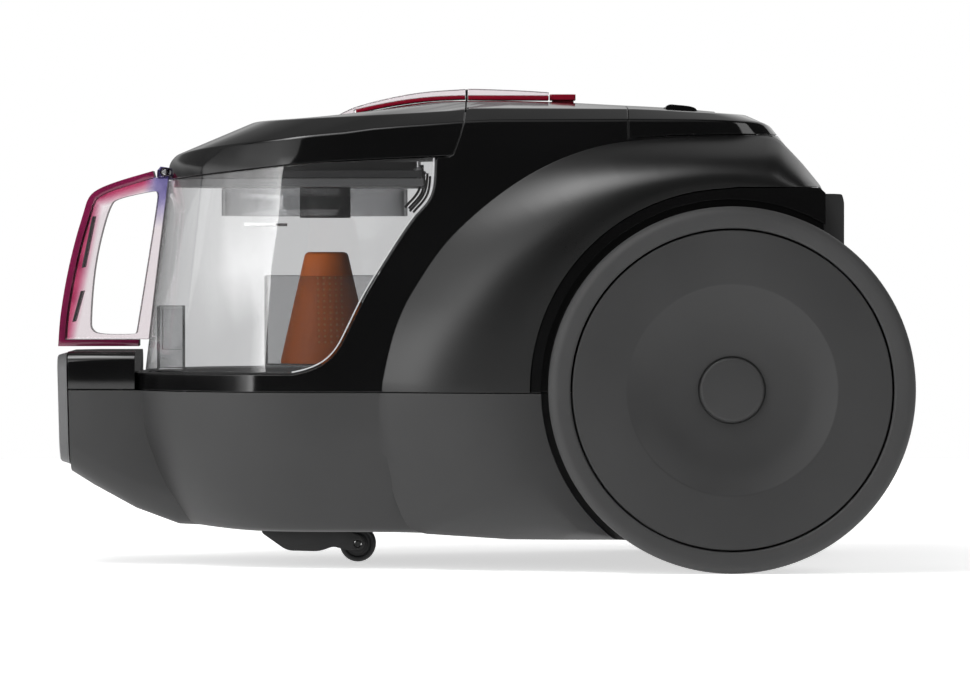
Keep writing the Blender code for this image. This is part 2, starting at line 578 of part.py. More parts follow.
# ---------------------------------------------------------------- dust bin
edge = offset(WINDOW, 0.9, closed=False)
edge_in = offset(WINDOW, 3.2, closed=False)
rim = [(x, z - 0.6) for x, z in LID_EDGE[:-1]][::-1]
BIN_SIDE = [(-185, 87), (-89, 87)] + edge + [(edge[-1][0], 190.2)] + rim[1:] + [(-185, 179.6)]
BIN_HOLLOW = [(-185, 93.2)] + [(-85, 93.2)] + edge_in[1:] + [(edge_in[-1][0], 230), (-185, 230)]
tub = bin_form("dust_bin", 0.0, z0=84, slot="clear")
cut(tub, prism("bin_outline", BIN_SIDE, -130, 130), "INTERSECT")
cut(tub, box("bin_channel", -90, -44.9, -29.2, 29.2, 88, 137.5), "UNION")
hollow = bin_form("bin_inside", 2.2, z0=85, z1=240)
cut(hollow, prism("bin_inside_outline", BIN_HOLLOW, -130, 130), "INTERSECT")
cut(hollow, box("bin_channel_inside", -100, -47.1, -27, 27, 93.2, 135.3), "UNION")
cut(tub, hollow)
inlet = box("inlet_box", -158, -137, -18.6, 18.6, 89, 123)
cut(inlet, bin_form("inlet_trim", 0.8, z0=84), "INTERSECT")
cut(tub, inlet, "UNION")
cut(tub, box("bin_underside", -200, 0, -130, 130, 60, 91))
cut(tub, box("inlet_box_inside", -151, -139, -16.4, 16.4, 80, 121))
cut(tub, box("inlet_mouth", -150, -140, 10, 30, 100, 119))
cut(tub, rod("bin_port", "x", (0, 110), 10.4, -52, -40, 20))

cone = lathe("cone_filter", "z", (CONE_X, 0), [(7.4, 145.0), (9.0, 143.8), (20.1, 93.8),
                                              (21.6, 93.8), (10.4, 144.6), (8.4, 146.5)], 24,
             "orange")
cut(cone, rod("cone_arm", "x", (0, 110), 12.5, -66, -47.7, 20), "UNION")
cut(cone, rod("cone_arm_bore", "x", (0, 110), 10.6, -72, -40, 20))

# ---------------------------------------------------------------- bin handle
grip = HANDLE + offset(HANDLE, -3.0, closed=False)[::-1]
prism("bin_handle_grip", grip, -9.6, 9.6, "crimson")
inner = offset(HANDLE, -3.3, closed=False)
handle = prism("bin_handle", inner[1:-1] + [(-152.6, 181.6), (-149.4, 182.2), (-144, 183),
                                            (-150, 105.3)], -8.4, 8.4, "clear_pink")
cut(handle, prism("handle_hole", HANDLE_HOLE, -20, 20))
cut(handle, bin_form("handle_seat", -0.3, z0=60))
cut(handle, prism("hinge_lugs", [(-151.5, 179), (-146.9, 179.2), (-146.2, 186.4), (-149.6, 186.9),
                                 (-151.2, 185)], -8.2, 8.2), "UNION")
cut(handle, box("tongue_slot", -151.0, -140, -4.5, 4.5, 181.2, 192))
cut(handle, rod("hinge_bore", "y", (HINGE_X, HINGE_Z), 1.3, -20, 20, 12))
rod("lid_hinge_pin", "y", (HINGE_X, HINGE_Z), 1.0, -8.2, 8.2, 12, "steel")

# ---------------------------------------------------------------- lid
LID = LID_EDGE + [(-11.8, 191.4)] + LID_SEAM + [(-185, 235), (-185, 180.6)]
LID_HOLLOW = [(-185, 150), (-15, 150), (-14.6, 192.4)] + offset(LID_SEAM, 2.5, closed=False)[1:]
LID_HOLLOW += [(-185, 240)]
lid = upper_form("bin_lid", 0.0, "gloss_black")
cut(lid, prism("lid_outline", LID, -130, 130), "INTERSECT")
hollow = upper_form("lid_inside", WALL, floor=60)
cut(hollow, prism("lid_inside_outline", LID_HOLLOW, -130, 130), "INTERSECT")
cut(lid, hollow)
cut(lid, box("lug_clearance", -160, -143.9, -8.9, 8.9, 178, 187.4))
tongue = box("tongue", -148, -142.2, -4.1, 4.1, 182.4, 186.2)
cut(tongue, rod("knuckle", "y", (HINGE_X, HINGE_Z), 2.1, -4.1, 4.1, 16), "UNION")
cut(lid, tongue, "UNION")
cut(lid, rod("knuckle_bore", "y", (HINGE_X, HINGE_Z), 1.3, -20, 20, 12))

plate = bin_form("lid_plate", 3.1, slot="light_grey")
cut(plate, prism("plate_outline", [(-185, 177), (-24.6, 177), (-24.6, 180.6), (-185, 180.6)], -130,
                 130), "INTERSECT")
cut(plate, rod("plate_bore", "z", (TUBE_X, 0), 12.3, 160, 200, 32))
seal = bin_form("lid_seal", 3.6, slot="rubber")
cut(seal, prism("seal_outline", [(-185, 181), (-25.4, 181), (-25.4, 184.4), (-185, 184.4)], -130,
                130), "INTERSECT")
room = bin_form("seal_room", 8.0)
cut(room, box("seal_room_box", -185, -30, -130, 130, 170, 195), "INTERSECT")
cut(seal, room)
cut(seal, box("tongue_clearance", -160, -141.6, -4.8, 4.8, 170, 200))
tube("vortex_tube", "z", (TUBE_X, 0), 12.0, 10.2, 162.6, 185, 32, "matte_black")
tube("cyclone_skirt", "z", (SKIRT_X, 0), 44.0, 42.4, 163.4, 176.6, 40, "clear")
red = SPINE_RED + offset(SPINE_RED, 1.7, closed=False)[::-1]
prism("lid_trim_red", red, -12, 12, "crimson")
low = offset(SPINE_RED, 2.0, closed=False)
prism("lid_trim_clear", SPINE_CLEAR + low[::-1] + [(-58.4, 213.6), (-58.2, 211.9)], -12.5, 12.5,
      "clear_pink")

# ---------------------------------------------------------------- suction unit
turned("fan_housing", "x", (MOTOR_Y, MOTOR_Z), [
    (14, 4), (44, 6), (44, 36), (9, 36), (9, 33.6), (41.6, 33.6), (41.6, 8.4), (14, 6.4)], 32,
    "light_grey")
turned("motor_can", "x", (MOTOR_Y, MOTOR_Z), [
    (5, 36.5), (34, 36.5), (36, 39), (36, 108), (33, 112), (5, 112)], 32, "steel")
rod("motor_shaft", "x", (MOTOR_Y, MOTOR_Z), 4.2, 9, 118, 16, "steel")
star = []
for k in range(24):
    t = 2 * math.pi * k / 24
    r = 36.0 if k % 3 == 0 else 12.0
    star.append((r, t))
ring = []
for x in (12.0, 26.5):
    ring.append([(x, MOTOR_Y + r * math.cos(t), MOTOR_Z + r * math.sin(t)) for r, t in star])
wheel = stack("impeller", ring, "white")
cut(wheel, rod("impeller_disc", "x", (MOTOR_Y, MOTOR_Z), 38, 26, 29, 32), "UNION")
cut(wheel, rod("impeller_bore", "x", (MOTOR_Y, MOTOR_Z), 4.5, 0, 40, 16))
tube("motor_mount_front", "x", (MOTOR_Y, MOTOR_Z), 47.0, 44.3, 8, 16, 32, "rubber")
tube("motor_mount_rear", "x", (MOTOR_Y, MOTOR_Z), 39.4, 36.3, 97, 105, 32, "rubber")
frame = box("premotor_frame", -28, -10, -84, 2, 52, 136, "matte_black")
cut(frame, box("frame_window", -40, 0, -78, -4, 58, 130))
cut(frame, box("frame_rebate", -26, 0, -80.4, -1.6, 55.6, 132.4))
box("premotor_filter", -25.6, -10.4, -80, -2, 56, 132, "foam")

# ---------------------------------------------------------------- cord reel
turned("cord_reel_drum", "y", (REEL_X, REEL_Z), [
    (6.5, 26), (REEL_R, 26), (REEL_R, 29.4), (30, 29.4), (30, 68), (REEL_R, 68), (REEL_R, 70.4),
    (6.5, 70.4)], 36, "light_grey")
rod("reel_axle", "y", (REEL_X, REEL_Z), 5.9, 4.0, 90.5, 16, "steel")
turned("reel_spring_case", "y", (REEL_X, REEL_Z), [(6.4, 72), (34, 72), (34, 84), (6.4, 84)], 28,
       "matte_black")
turned("cord_outlet_bush", "x", (64, 112), [(4, 156), (7.0, 156), (7.0, 160.5), (9.5, 160.5),
                                            (9.5, 163), (8, 164.4), (5.2, 164.4), (4, 163)], 20,
       "rubber")

# ---------------------------------------------------------------- exhaust
box("exhaust_filter", 149, 159.4, -46, 46, 92.5, 159.5, "foam")
door = prism("exhaust_cover", [(160.8, 69), (162, 66), (165, 64.8), (168.4, 65.6), (170, 69),
                               (171.3, 90), (171.3, 170), (170.3, 173.6), (166, 173.8), (160.8, 173.8)],
             -52, 52, "matte_black")
cut(door, box("door_room", 159, 168.6, -49.4, 49.4, 78, 170.5))
for k in range(7):
    z = 95 + 9 * k
    cut(door, box("louvre", 165, 175, -40, 40, z, z + 4))
cut(door, rod("door_bore", "y", (COVER_X, COVER_Z), 1.8, -60, 60, 12))
rod("exhaust_hinge_pin", "y", (COVER_X, COVER_Z), 1.5, -55.2, 55.2, 12, "steel")
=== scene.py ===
"""Canister vacuum cleaner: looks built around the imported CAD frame.

Shape lengths are millimetres, turned to metres by MM; lights and the camera are in metres.
"""
import math

import bmesh
import bpy
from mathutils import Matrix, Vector, noise
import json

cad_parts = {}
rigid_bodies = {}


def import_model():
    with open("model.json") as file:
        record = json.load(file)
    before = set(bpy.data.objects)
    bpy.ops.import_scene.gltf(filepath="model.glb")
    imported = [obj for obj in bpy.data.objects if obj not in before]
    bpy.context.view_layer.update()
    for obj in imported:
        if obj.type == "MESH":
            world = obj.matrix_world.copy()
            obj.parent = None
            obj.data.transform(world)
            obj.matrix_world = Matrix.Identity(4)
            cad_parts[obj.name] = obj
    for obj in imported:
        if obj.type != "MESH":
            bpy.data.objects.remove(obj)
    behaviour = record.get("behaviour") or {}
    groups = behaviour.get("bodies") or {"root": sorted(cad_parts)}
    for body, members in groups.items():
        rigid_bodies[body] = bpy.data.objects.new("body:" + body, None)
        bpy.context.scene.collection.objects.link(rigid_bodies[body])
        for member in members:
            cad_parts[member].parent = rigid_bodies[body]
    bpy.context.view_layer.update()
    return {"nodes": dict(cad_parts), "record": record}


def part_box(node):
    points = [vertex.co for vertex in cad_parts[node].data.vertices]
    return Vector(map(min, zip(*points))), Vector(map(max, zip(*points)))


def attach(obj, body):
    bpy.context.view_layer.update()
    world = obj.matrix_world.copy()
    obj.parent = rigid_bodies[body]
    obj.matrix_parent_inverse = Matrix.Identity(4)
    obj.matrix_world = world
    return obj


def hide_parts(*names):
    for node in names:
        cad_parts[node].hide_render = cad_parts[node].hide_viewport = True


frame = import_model()
scene = bpy.context.scene

# ---- driving dimensions, as in the CAD
MM = 0.001
WALL, GAP, PARTING_Z = 2.5, 0.4, 82.0
POCKET_R, LIP_R, FLARE_Y, POCKET_FLOOR_Y, BODY_CX = 87.0, 91.7, 118.0, 101.0, -75.0
PEDAL_X, PEDAL_Y, BUTTON_X = 95.5, 30.0, 40.5
WIDE, AHEAD = 130, -185  # past the body's sides, and ahead of the container and lid
FULL = 99  # a rounding reach longer than any side, so a corner starts at each side's middle
FRONT_LEAN = 0.025  # of the nose's flat front, in mm of X for each mm of Z
AXLE_BORE, PIN_BORE, HINGE_BORE, HOSE_BORE, CASTER_BORE = 6.2, 1.8, 1.3, 18.6, 5.2

# Lines that parts are turned about: (y, z) along X, (x, z) along Y and (x, y) along Z.
HOSE, PORT, MOTOR = (0, 73), (0, 110), (-42.0, 92.0)
WHEEL, REEL, ROLLER = (116.4, 83.8), (80.0, 96.0), (-56.5, 8.5)
HINGE, COVER = (-148.0, 184.3), (165.0, 69.0)
SWIVEL, TUBE, SKIRT, CONE = (-78.0, 0), (-72.0, 0), (-77.0, 0), (-71.4, 0)
WHEEL_X, WHEEL_Z = WHEEL

# Side outlines of the body, container, handle and trim, as (x, z) points.
BOTTOM = [(-131, 18.2), (-100, 16.8), (-40, 16.5), (0, 15.0), (15, 14.0), (68, 13.8), (160, 14.5)]
CREASE_LOW = [(-143, 192), (-130, 194.3), (-100, 198), (-80, 200.2), (-60, 202), (-50, 203.5),
              (-10, 206.5), (0, 207.4), (100, 207.8), (125, 207), (132, 206.5), (136, 205)]
CREASE_TOP = [(-105, 208), (-85, 208.6), (-62, 209.3), (-10, 212.2), (0, 213.2), (70, 213),
              (100, 211.6), (125, 210.3)]
CROWN = [(-64, 209.7), (-50, 213.1), (-40, 215.1), (-30, 216.6), (-20, 217.6), (-10, 218.0),
         (10, 218.0), (30, 217.6), (47, 216.9), (60, 216.2), (70, 215.7), (88, 214.8),
         (112, 212.9)]
WINDOW = [(-85, 90), (-78, 91.5), (-70, 95), (-64, 101), (-60, 108.5), (-55, 119), (-50, 129),
          (-30, 161), (-22, 169), (-19, 176), (-18.5, 190)]
LID_EDGE = [(-146, 180.6), (-120, 183.6), (-84, 187.6), (-50, 189.6), (-20, 190.9), (-12.4, 191.2)]
LID_SEAM = [(-11.2, 192), (-8.2, 200), (-6.2, 207), (-5.5, 213), (-5.2, 235)]
FLARE = [(70, 13.8), (40, 13.8), (15, 14), (0, 15), (-31, 17), (-38, 32), (-43, 52),
         (-46, 82), (-44, 92), (-40, 108), (-35, 121), (-30, 130), (-20, 145.5),
         (-10, 157), (5, 170.5), (20, 181), (35, 189), (50, 194.5),
         (65, 198), (90, 200.1), (120, 200.5), (138, 200.2), (150, 187.5),
         (159.3, 176), (159.6, 150), (110, 84)]
# Where the flare leaves the body: half-width against z.
SEAM = [(20, 89.5), (34, 90.0), (50, 94.2), (64, 97.6), (82, 99.5), (150, 97.6), (176, 95.2),
        (188, 93.6), (207, 89.6)]
HANDLE = [(-160, 102), (-198, 102), (-197.4, 112), (-196.5, 120), (-194, 135),
          (-190, 152), (-186, 165), (-184, 172), (-180, 176), (-170, 180), (-153.2, 184.8)]
HANDLE_HOLE = [(-162.5, 107.5), (-179.5, 107.5), (-182.6, 110), (-183, 113), (-182, 130),
               (-180, 145), (-176.4, 160), (-173.5, 168.4), (-171, 171.6), (-152.5, 175.6),
               (-151, 174.5), (-151.2, 170), (-160.8, 110), (-161.2, 108.2)]
SPINE_RED = [(-57, 212.0), (-50, 213.6), (-40, 215.6), (-30, 217.1), (-20, 218.1), (-10, 218.5),
             (-5.6, 218.6)]
SPINE_CLEAR = [(-66.5, 210.6), (-60, 214.2), (-50, 217.2), (-40, 219.5), (-30, 221.4),
               (-20, 222.5), (-10, 223.1), (-5.6, 223.4)]
# Rings of the upper housing: height or crease, front x, centre x, half-width, rear x, corner.
UPPER = [(82.2, -167, -75, 100, 160, 30), (90, -166.5, -75, 99.9, 160, 30),
         (150, -153, -75, 98, 160, 30), (176, -146.5, -75, 95.6, 159.8, 28),
         (188, -146, -75, 94, 149.6, 26), ("low", -142.4, -75, 90, 136, 22),
         ("top", -105, -45, 79, 125, 20), ("crown", -64, -10, 42, 112, 16)]
# For each of those rings, how far its edge is rounded and in how many steps.
REACH = [0, 8, 24, 9, 4.5, 1.6, 2.4, 0]
STEPS = [0, 2, 8, 5, 5, 5, 5, 0]
# Height share against inset of the lower shell; then the container: z, front x, half-width.
BOWL = [(0.0, 36), (0.012, 28), (0.076, 22), (0.19, 16), (0.353, 10), (0.515, 6), (0.727, 2),
        (1.0, 0)]
BIN = [(91, -157, 99.2), (120, -153.6, 98.6), (150, -150, 97.5), (181, -146, 94.7),
       (194, -144.8, 93.2)]

# ---- materials
MATS = {}


class Shader:
    """A small helper that adds nodes to one material."""

    def __init__(self, name):
        self.m = bpy.data.materials.new(name)
        self.m.use_nodes = True
        self.nt = self.m.node_tree
        self.out = self.nt.nodes["Material Output"]
        self.b = self.nt.nodes["Principled BSDF"]
        self.tc = self.nt.nodes.new("ShaderNodeTexCoord")
        MATS[name] = self.m

    def add(self, kind, **values):
        n = self.nt.nodes.new("ShaderNode" + kind)
        for k, v in values.items():
            setattr(n, k, v)
        return n

    def link(self, a, b):
        self.nt.links.new(a, b)

    def place(self, scale=(1, 1, 1)):
        mp = self.add("Mapping")
        mp.inputs["Scale"].default_value = scale
        self.link(self.tc.outputs["Object"], mp.inputs["Vector"])
        return mp.outputs["Vector"]

    def noise(self, scale, detail=2.0, rough=0.5, stretch=None):
        n = self.add("TexNoise")
        n.inputs["Scale"].default_value = scale
        n.inputs["Detail"].default_value = detail
        n.inputs["Roughness"].default_value = rough
        self.link(self.place(stretch) if stretch else self.tc.outputs["Object"],
                  n.inputs["Vector"])
        return n.outputs["Fac"]

    def voronoi(self, scale):
        n = self.add("TexVoronoi")
        n.inputs["Scale"].default_value = scale
        self.link(self.tc.outputs["Object"], n.inputs["Vector"])
        return n.outputs["Distance"]

    def ramp(self, fac, stops):
        r = self.add("ValToRGB")
        e = r.color_ramp.elements
        for i, (p, c) in enumerate(stops):
            el = e[i] if i < 2 else e.new(p)
            el.position, el.color = p, (*c, 1.0)
        self.link(fac, r.inputs["Fac"])
        return r.outputs["Color"]

    def span(self, fac, low, high, a=0.3, b=0.7):
        r = self.add("MapRange")
        for k, v in (("From Min", a), ("From Max", b), ("To Min", low), ("To Max", high)):
            r.inputs[k].default_value = v
        self.link(fac, r.inputs["Value"])
        return r.outputs["Result"]

    def math(self, op, a, b):
        n = self.add("Math", operation=op)
        for i, v in enumerate((a, b)):
            if isinstance(v, (int, float)):
                n.inputs[i].default_value = v
            else:
                self.link(v, n.inputs[i])
        return n.outputs["Value"]

    def colour(self, fac, low, high, a=0.3, b=0.7):
        self.link(self.ramp(fac, [(a, low), (b, high)]), self.b.inputs["Base Color"])

    def gloss(self, fac, low, high):
        self.link(self.span(fac, low, high), self.b.inputs["Roughness"])

    def relief(self, layers, radius=0.4):
        """Stack bumps of (height, depth in mm, strength) on softened edges."""
        normal = None
        if radius:
            bev = self.add("Bevel", samples=4)
            bev.inputs["Radius"].default_value = radius * MM
            normal = bev.outputs["Normal"]
        for height, depth, strength in layers:
            bp = self.add("Bump")
            bp.inputs["Strength"].default_value = strength
            bp.inputs["Distance"].default_value = depth * MM
            self.link(height, bp.inputs["Height"])
            if normal is not None:
                self.link(normal, bp.inputs["Normal"])
            normal = bp.outputs["Normal"]
        if normal is not None:
            self.link(normal, self.b.inputs["Normal"])
        return normal

    def set(self, **values):
        for k, v in values.items():
            self.b.inputs[k.replace("_", " ")].default_value = v


def plastic(name, colour, rough, grain=1600, depth=0.02, strength=0.35, vary=0.12, spread=0.06,
            radius=0.45, **extra):
    s = Shader(name)
    broad = s.noise(14, 3, 0.55)
    fine = s.noise(grain, 2, 0.6)
    low, high = [tuple(c * k for c in colour) for k in (1 - vary, 1 + vary)]
    s.colour(broad, low, high)
    mixed = s.math("ADD", s.math("MULTIPLY", broad, 0.6), s.math("MULTIPLY", fine, 0.4))
    s.gloss(mixed, rough - spread, rough + spread)
    s.relief([(fine, depth, strength)], radius)
    s.set(**extra)
    return s


plastic("matte_grey", (0.033, 0.033, 0.0333), 0.46, Specular_IOR_Level=0.35)
plastic("matte_black", (0.005, 0.005, 0.005), 0.3, grain=1500, spread=0.04, Specular_IOR_Level=0.5)
plastic("light_grey", (0.1, 0.1, 0.102), 0.42)
plastic("white", (0.62, 0.62, 0.6), 0.5)
plastic("gloss_black", (0.0025, 0.0025, 0.0026), 0.08, grain=220, depth=0.004, strength=0.2,
        vary=0.3, spread=0.02, radius=0.5, Specular_IOR_Level=0.5)
plastic("crimson", (0.3, 0.004, 0.022), 0.16, grain=400, depth=0.004, strength=0.15, vary=0.1,
        spread=0.03, Coat_Weight=0.4)
plastic("crimson_clear", (0.17, 0.008, 0.05), 0.12, grain=400, depth=0.004, strength=0.15,
        vary=0.35, spread=0.03, Coat_Weight=0.3)
plastic("rubber_dark", (0.012, 0.012, 0.013), 0.55)
plastic("orange", (0.95, 0.2, 0.006), 0.45, grain=900, depth=0.03, strength=0.3, vary=0.08)
plastic("orange_light", (0.95, 0.42, 0.1), 0.6)
plastic("print_white", (0.85, 0.85, 0.85), 0.4, vary=0.03)
s = Shader("rubber")
fine, broad = s.noise(1900, 3, 0.6), s.noise(22, 3, 0.5)
s.colour(broad, (0.043, 0.043, 0.0434), (0.052, 0.052, 0.0524))
s.gloss(fine, 0.5, 0.66)
s.relief([(fine, 0.03, 0.4)], 0.4)
s.set(Specular_IOR_Level=0.3)

s = Shader("foam")
cells, fine = s.voronoi(620), s.noise(1500, 3, 0.6)
# Darker where the bump sinks the cells: painted shade in the foam's pores.
s.colour(cells, (0.012, 0.012, 0.014), (0.075, 0.075, 0.085), 0.05, 0.6)
s.gloss(fine, 0.85, 1.0)
s.relief([(cells, 0.5, 0.8), (fine, 0.1, 0.4)], 0.0)

s = Shader("steel")
lines = s.noise(300, 3, 0.6, stretch=(1, 1, 12))
s.colour(s.noise(40, 2), (0.5, 0.5, 0.51), (0.62, 0.62, 0.63))
s.gloss(lines, 0.22, 0.38)
s.relief([(lines, 0.01, 0.25)], 0.3)
s.set(Metallic=1.0)


def clear_plastic(name, tint, body, haze, zones=None):
    """Thin moulded plastic: light goes straight through, gloss grows at grazing angles."""
    s = Shader(name)
    wave, dust = s.noise(30, 2, 0.5), s.noise(700, 4, 0.7)
    s.b.inputs["Base Color"].default_value = (*body, 1.0)
    s.gloss(dust, 0.02, 0.07)
    s.relief([(wave, 0.05, 0.12)], 0.6)
    facing = s.add("LayerWeight").outputs["Facing"]
    edge = s.math("POWER", facing, 5.0)
    fac = s.math("ADD", s.math("MULTIPLY", edge, 0.9), s.span(dust, haze, haze + 0.03))
    clear = s.add("BsdfTransparent")
    through = s.ramp(s.math("POWER", facing, 3.0),
                     [(0.0, tint), (1.0, tuple(c * 0.85 for c in tint))])
    if zones:
        through = zones(s, through)
    s.link(through, clear.inputs["Color"])
    mix = s.add("MixShader")
    s.set(Metallic=0.85)
    s.link(fac, mix.inputs["Fac"])
    s.link(clear.outputs["BSDF"], mix.inputs[1])
    s.link(s.b.outputs["BSDF"], mix.inputs[2])
    s.link(mix.outputs["Shader"], s.out.inputs["Surface"])
    return s


def handle_zones(s, through):
    """Rose under the outer skin, blue-violet where the handle meets the container."""
    xyz = s.add("SeparateXYZ")
    s.link(s.tc.outputs["Object"], xyz.inputs["Vector"])
    x, z = xyz.outputs["X"], xyz.outputs["Z"]
    patch = s.noise(70, 3, 0.6, stretch=(1, 0.3, 1))
    strut = s.math("SUBTRACT", s.math("ADD", x, 0.2184), s.math("MULTIPLY", z, 0.2))
    bar = s.math("ADD", s.math("SUBTRACT", 0.2349, z), s.math("MULTIPLY", x, 0.327))
    rose = s.math("MAXIMUM", s.span(strut, 1.0, 0.0, 0.0025, 0.0075),
                  s.math("MULTIPLY", s.span(bar, 1.0, 0.0, 0.004, 0.009),
                         s.span(x, 1.0, 0.0, -0.155, -0.148)))
    root = s.math("MULTIPLY", s.span(x, 0.0, 1.0, -0.158, -0.152),
                  s.span(z, 0.0, 1.0, 0.158, 0.172))
    root = s.math("MULTIPLY", root, s.span(x, 1.0, 0.0, -0.144, -0.14))
    for amount, low, high in ((rose, (0.55, 0.1, 0.25), (0.78, 0.3, 0.44)),
                              (root, (0.34, 0.32, 0.52), (0.62, 0.58, 0.78))):
        mix = s.add("Mix", data_type="RGBA")
        s.link(amount, mix.inputs["Factor"])
        s.link(through, mix.inputs["A"])
        s.link(s.ramp(patch, [(0.3, low), (0.7, high)]), mix.inputs["B"])
        through = mix.outputs["Result"]
    return through


clear_plastic("clear", (0.78, 0.782, 0.786), (0.92, 0.92, 0.92), 0.075)
clear_plastic("clear_pink", (0.94, 0.9, 0.915), (0.9, 0.8, 0.83), 0.08, handle_zones)
# Light grey gloss for the strip along the container's window edge: a painted highlight where the
# frame's edge catches the light.
plastic("painted_highlight_strip", (0.55, 0.55, 0.56), 0.2, grain=500, depth=0.004, strength=0.15)


# ---- outlines and forms
def table(tab, x):
    """Monotone cubic through the table's points."""
    n = len(tab)
    if x <= tab[0][0]:
        return tab[0][1]
    if x >= tab[-1][0]:
        return tab[-1][1]
    d = [(tab[i + 1][1] - tab[i][1]) / (tab[i + 1][0] - tab[i][0]) for i in range(n - 1)]
    m = [d[0]] + [0.0 if d[i] * d[i + 1] <= 0 else 2 * d[i] * d[i + 1] / (d[i] + d[i + 1])
                  for i in range(n - 2)] + [d[-1]]
    for i in range(n - 1):
        (x0, y0), (x1, y1) = tab[i], tab[i + 1]
        if x <= x1:
            h, t = x1 - x0, (x - x0) / (x1 - x0)
            return ((1 + 2 * t) * (1 - t) ** 2 * y0 + t * (1 - t) ** 2 * h * m[i]
                    + t * t * (3 - 2 * t) * y1 + t * t * (t - 1) * h * m[i + 1])


def corner(a, b, c, reach, n):
    """n + 1 points that round the corner b between a and c."""
    a, b, c = Vector(a), Vector(b), Vector(c)
    la, lc = (a - b).length, (c - b).length
    if la < 1e-6 or lc < 1e-6:
        return [tuple(b)] * (n + 1)
    s, e = b + (a - b) * min(reach / la, 0.49), b + (c - b) * min(reach / lc, 0.49)
    return [tuple(s * (1 - t) ** 2 + b * 2 * t * (1 - t) + e * t * t)
            for t in (j / n for j in range(n + 1))]


def soften(points, reach, n=4, closed=False):
    m, out = len(points), []
    for i in range(m):
        if not closed and i in (0, m - 1):
            out.append(tuple(points[i]))
        else:
            r = reach[i] if isinstance(reach, list) else reach
            if r:
                out += corner(points[i - 1], points[i], points[(i + 1) % m], r, n)
            else:
                out.append(tuple(points[i]))
    return out


WINDOW_LINE = soften(WINDOW, FULL, 5)
HANDLE_LINE = [HANDLE[0]] + soften(HANDLE[1:], FULL, 5)
HOLE_LINE = soften(HANDLE_HOLE, FULL, 5, closed=True)
FLARE_LINE = soften(FLARE, [0, 0, 0, 6, 8] + [FULL] * 15 + [0, 5, 3, 3, 0, 0], 4)
RED_LINE, CLEAR_LINE = soften(SPINE_RED, FULL, 4), soften(SPINE_CLEAR, FULL, 4)
EDGE_LINE = soften(LID_EDGE, FULL, 4)


def add_object(name, data):
    ob = bpy.data.objects.new(name, data)
    scene.collection.objects.link(ob)
    return ob


def mesh_object(name, verts, faces):
    """A closed mesh from points in mm. It is a tool, hidden until keep() takes it as a piece."""
    me = bpy.data.meshes.new(name)
    me.from_pydata([(x * MM, y * MM, z * MM) for x, y, z in verts], [], faces)
    bm = bmesh.new()
    bm.from_mesh(me)
    bmesh.ops.triangulate(bm, faces=bm.faces)
    bmesh.ops.recalc_face_normals(bm, faces=bm.faces)
    if bm.calc_volume(signed=True) < 0:
        bmesh.ops.reverse_faces(bm, faces=bm.faces)
    bm.to_mesh(me)
    bm.free()
    ob = add_object(name, me)
    ob["tool"] = True
    ob.hide_render = True
    return ob


def stack(name, rings, closed=False):
    """Skin a list of equal rings; the ends are capped, or joined to each other when closed."""
    n = len(rings[0])
    verts = [p for r in rings for p in r]
    faces = []
    for k in range(len(rings) - (0 if closed else 1)):
        a, b = k * n, ((k + 1) % len(rings)) * n
        faces += [(a + i, a + (i + 1) % n, b + (i + 1) % n, b + i) for i in range(n)]
    if not closed:
        faces += [tuple(range(n)), tuple((len(rings) - 1) * n + i for i in range(n))]
    return mesh_object(name, verts, faces)


def prism(name, outline, y0, y1):
    return stack(name, [[(x, y, z) for x, z in outline] for y in (y0, y1)])


def box(name, x0, x1, y0, y1, z0, z1):
    return prism(name, [(x0, z0), (x1, z0), (x1, z1), (x0, z1)], y0, y1)


def bevel(ob, width, segments=3, angle=35):
    m = ob.modifiers.new("soft_edges", "BEVEL")
    m.width, m.segments, m.limit_method = width * MM, segments, "ANGLE"
    m.angle_limit = math.radians(angle)
    return ob


def place(axis, centre, r, t, h):
    c, s = r * math.cos(t), r * math.sin(t)
    return {"y": (centre[0] + c, h, centre[1] + s), "x": (h, centre[0] + c, centre[1] + s),
            "z": (centre[0] + c, centre[1] + s, h)}[axis]


def turned(name, axis, centre, profile, seg, reach=0.0, n=3):
    """Turn a closed (radius, station) profile about a line along one axis through centre."""
    if reach:
        profile = soften(profile, reach, n, closed=True)
    rings = [[place(axis, centre, r, 2 * math.pi * k / seg, h) for r, h in profile]
             for k in range(seg)]
    return stack(name, rings, closed=True)


def lathe(name, axis, centre, profile, seg):
    """Stack circles of (radius, station) along an axis; the first and last are closed."""
    return stack(name, [[place(axis, centre, r, 2 * math.pi * k / seg, h) for k in range(seg)]
                        for r, h in profile])


def rod(name, axis, centre, r, h0, h1, seg=48):
    return lathe(name, axis, centre, [(r, h0), (r, h1)], seg)


def offset(poly, d):
    """Move an open outline d to the left of its direction of travel."""
    out, n = [], len(poly)
    for i in range(n):
        ends = []
        for j in (i - 1, i):
            if 0 <= j < n - 1:
                (ax, az), (bx, bz) = poly[j], poly[j + 1]
                q = math.hypot(bx - ax, bz - az)
                if q > 1e-9:
                    ends.append((-(bz - az) / q, (bx - ax) / q))
        nx, nz = sum(e[0] for e in ends), sum(e[1] for e in ends)
        m = len(ends) / max(nx * nx + nz * nz, 0.5) if len(ends) > 1 else 1.0
        out.append((poly[i][0] + nx * m * d, poly[i][1] + nz * m * d))
    return out


def cut(ob, *tools, op="DIFFERENCE"):
    for tool in tools:
        m = ob.modifiers.new(tool.name, "BOOLEAN")
        m.operation, m.solver, m.object = op, "EXACT", tool


def join(ob, *parts):
    cut(ob, *parts, op="UNION")


def clip(ob, region):
    cut(ob, region, op="INTERSECT")


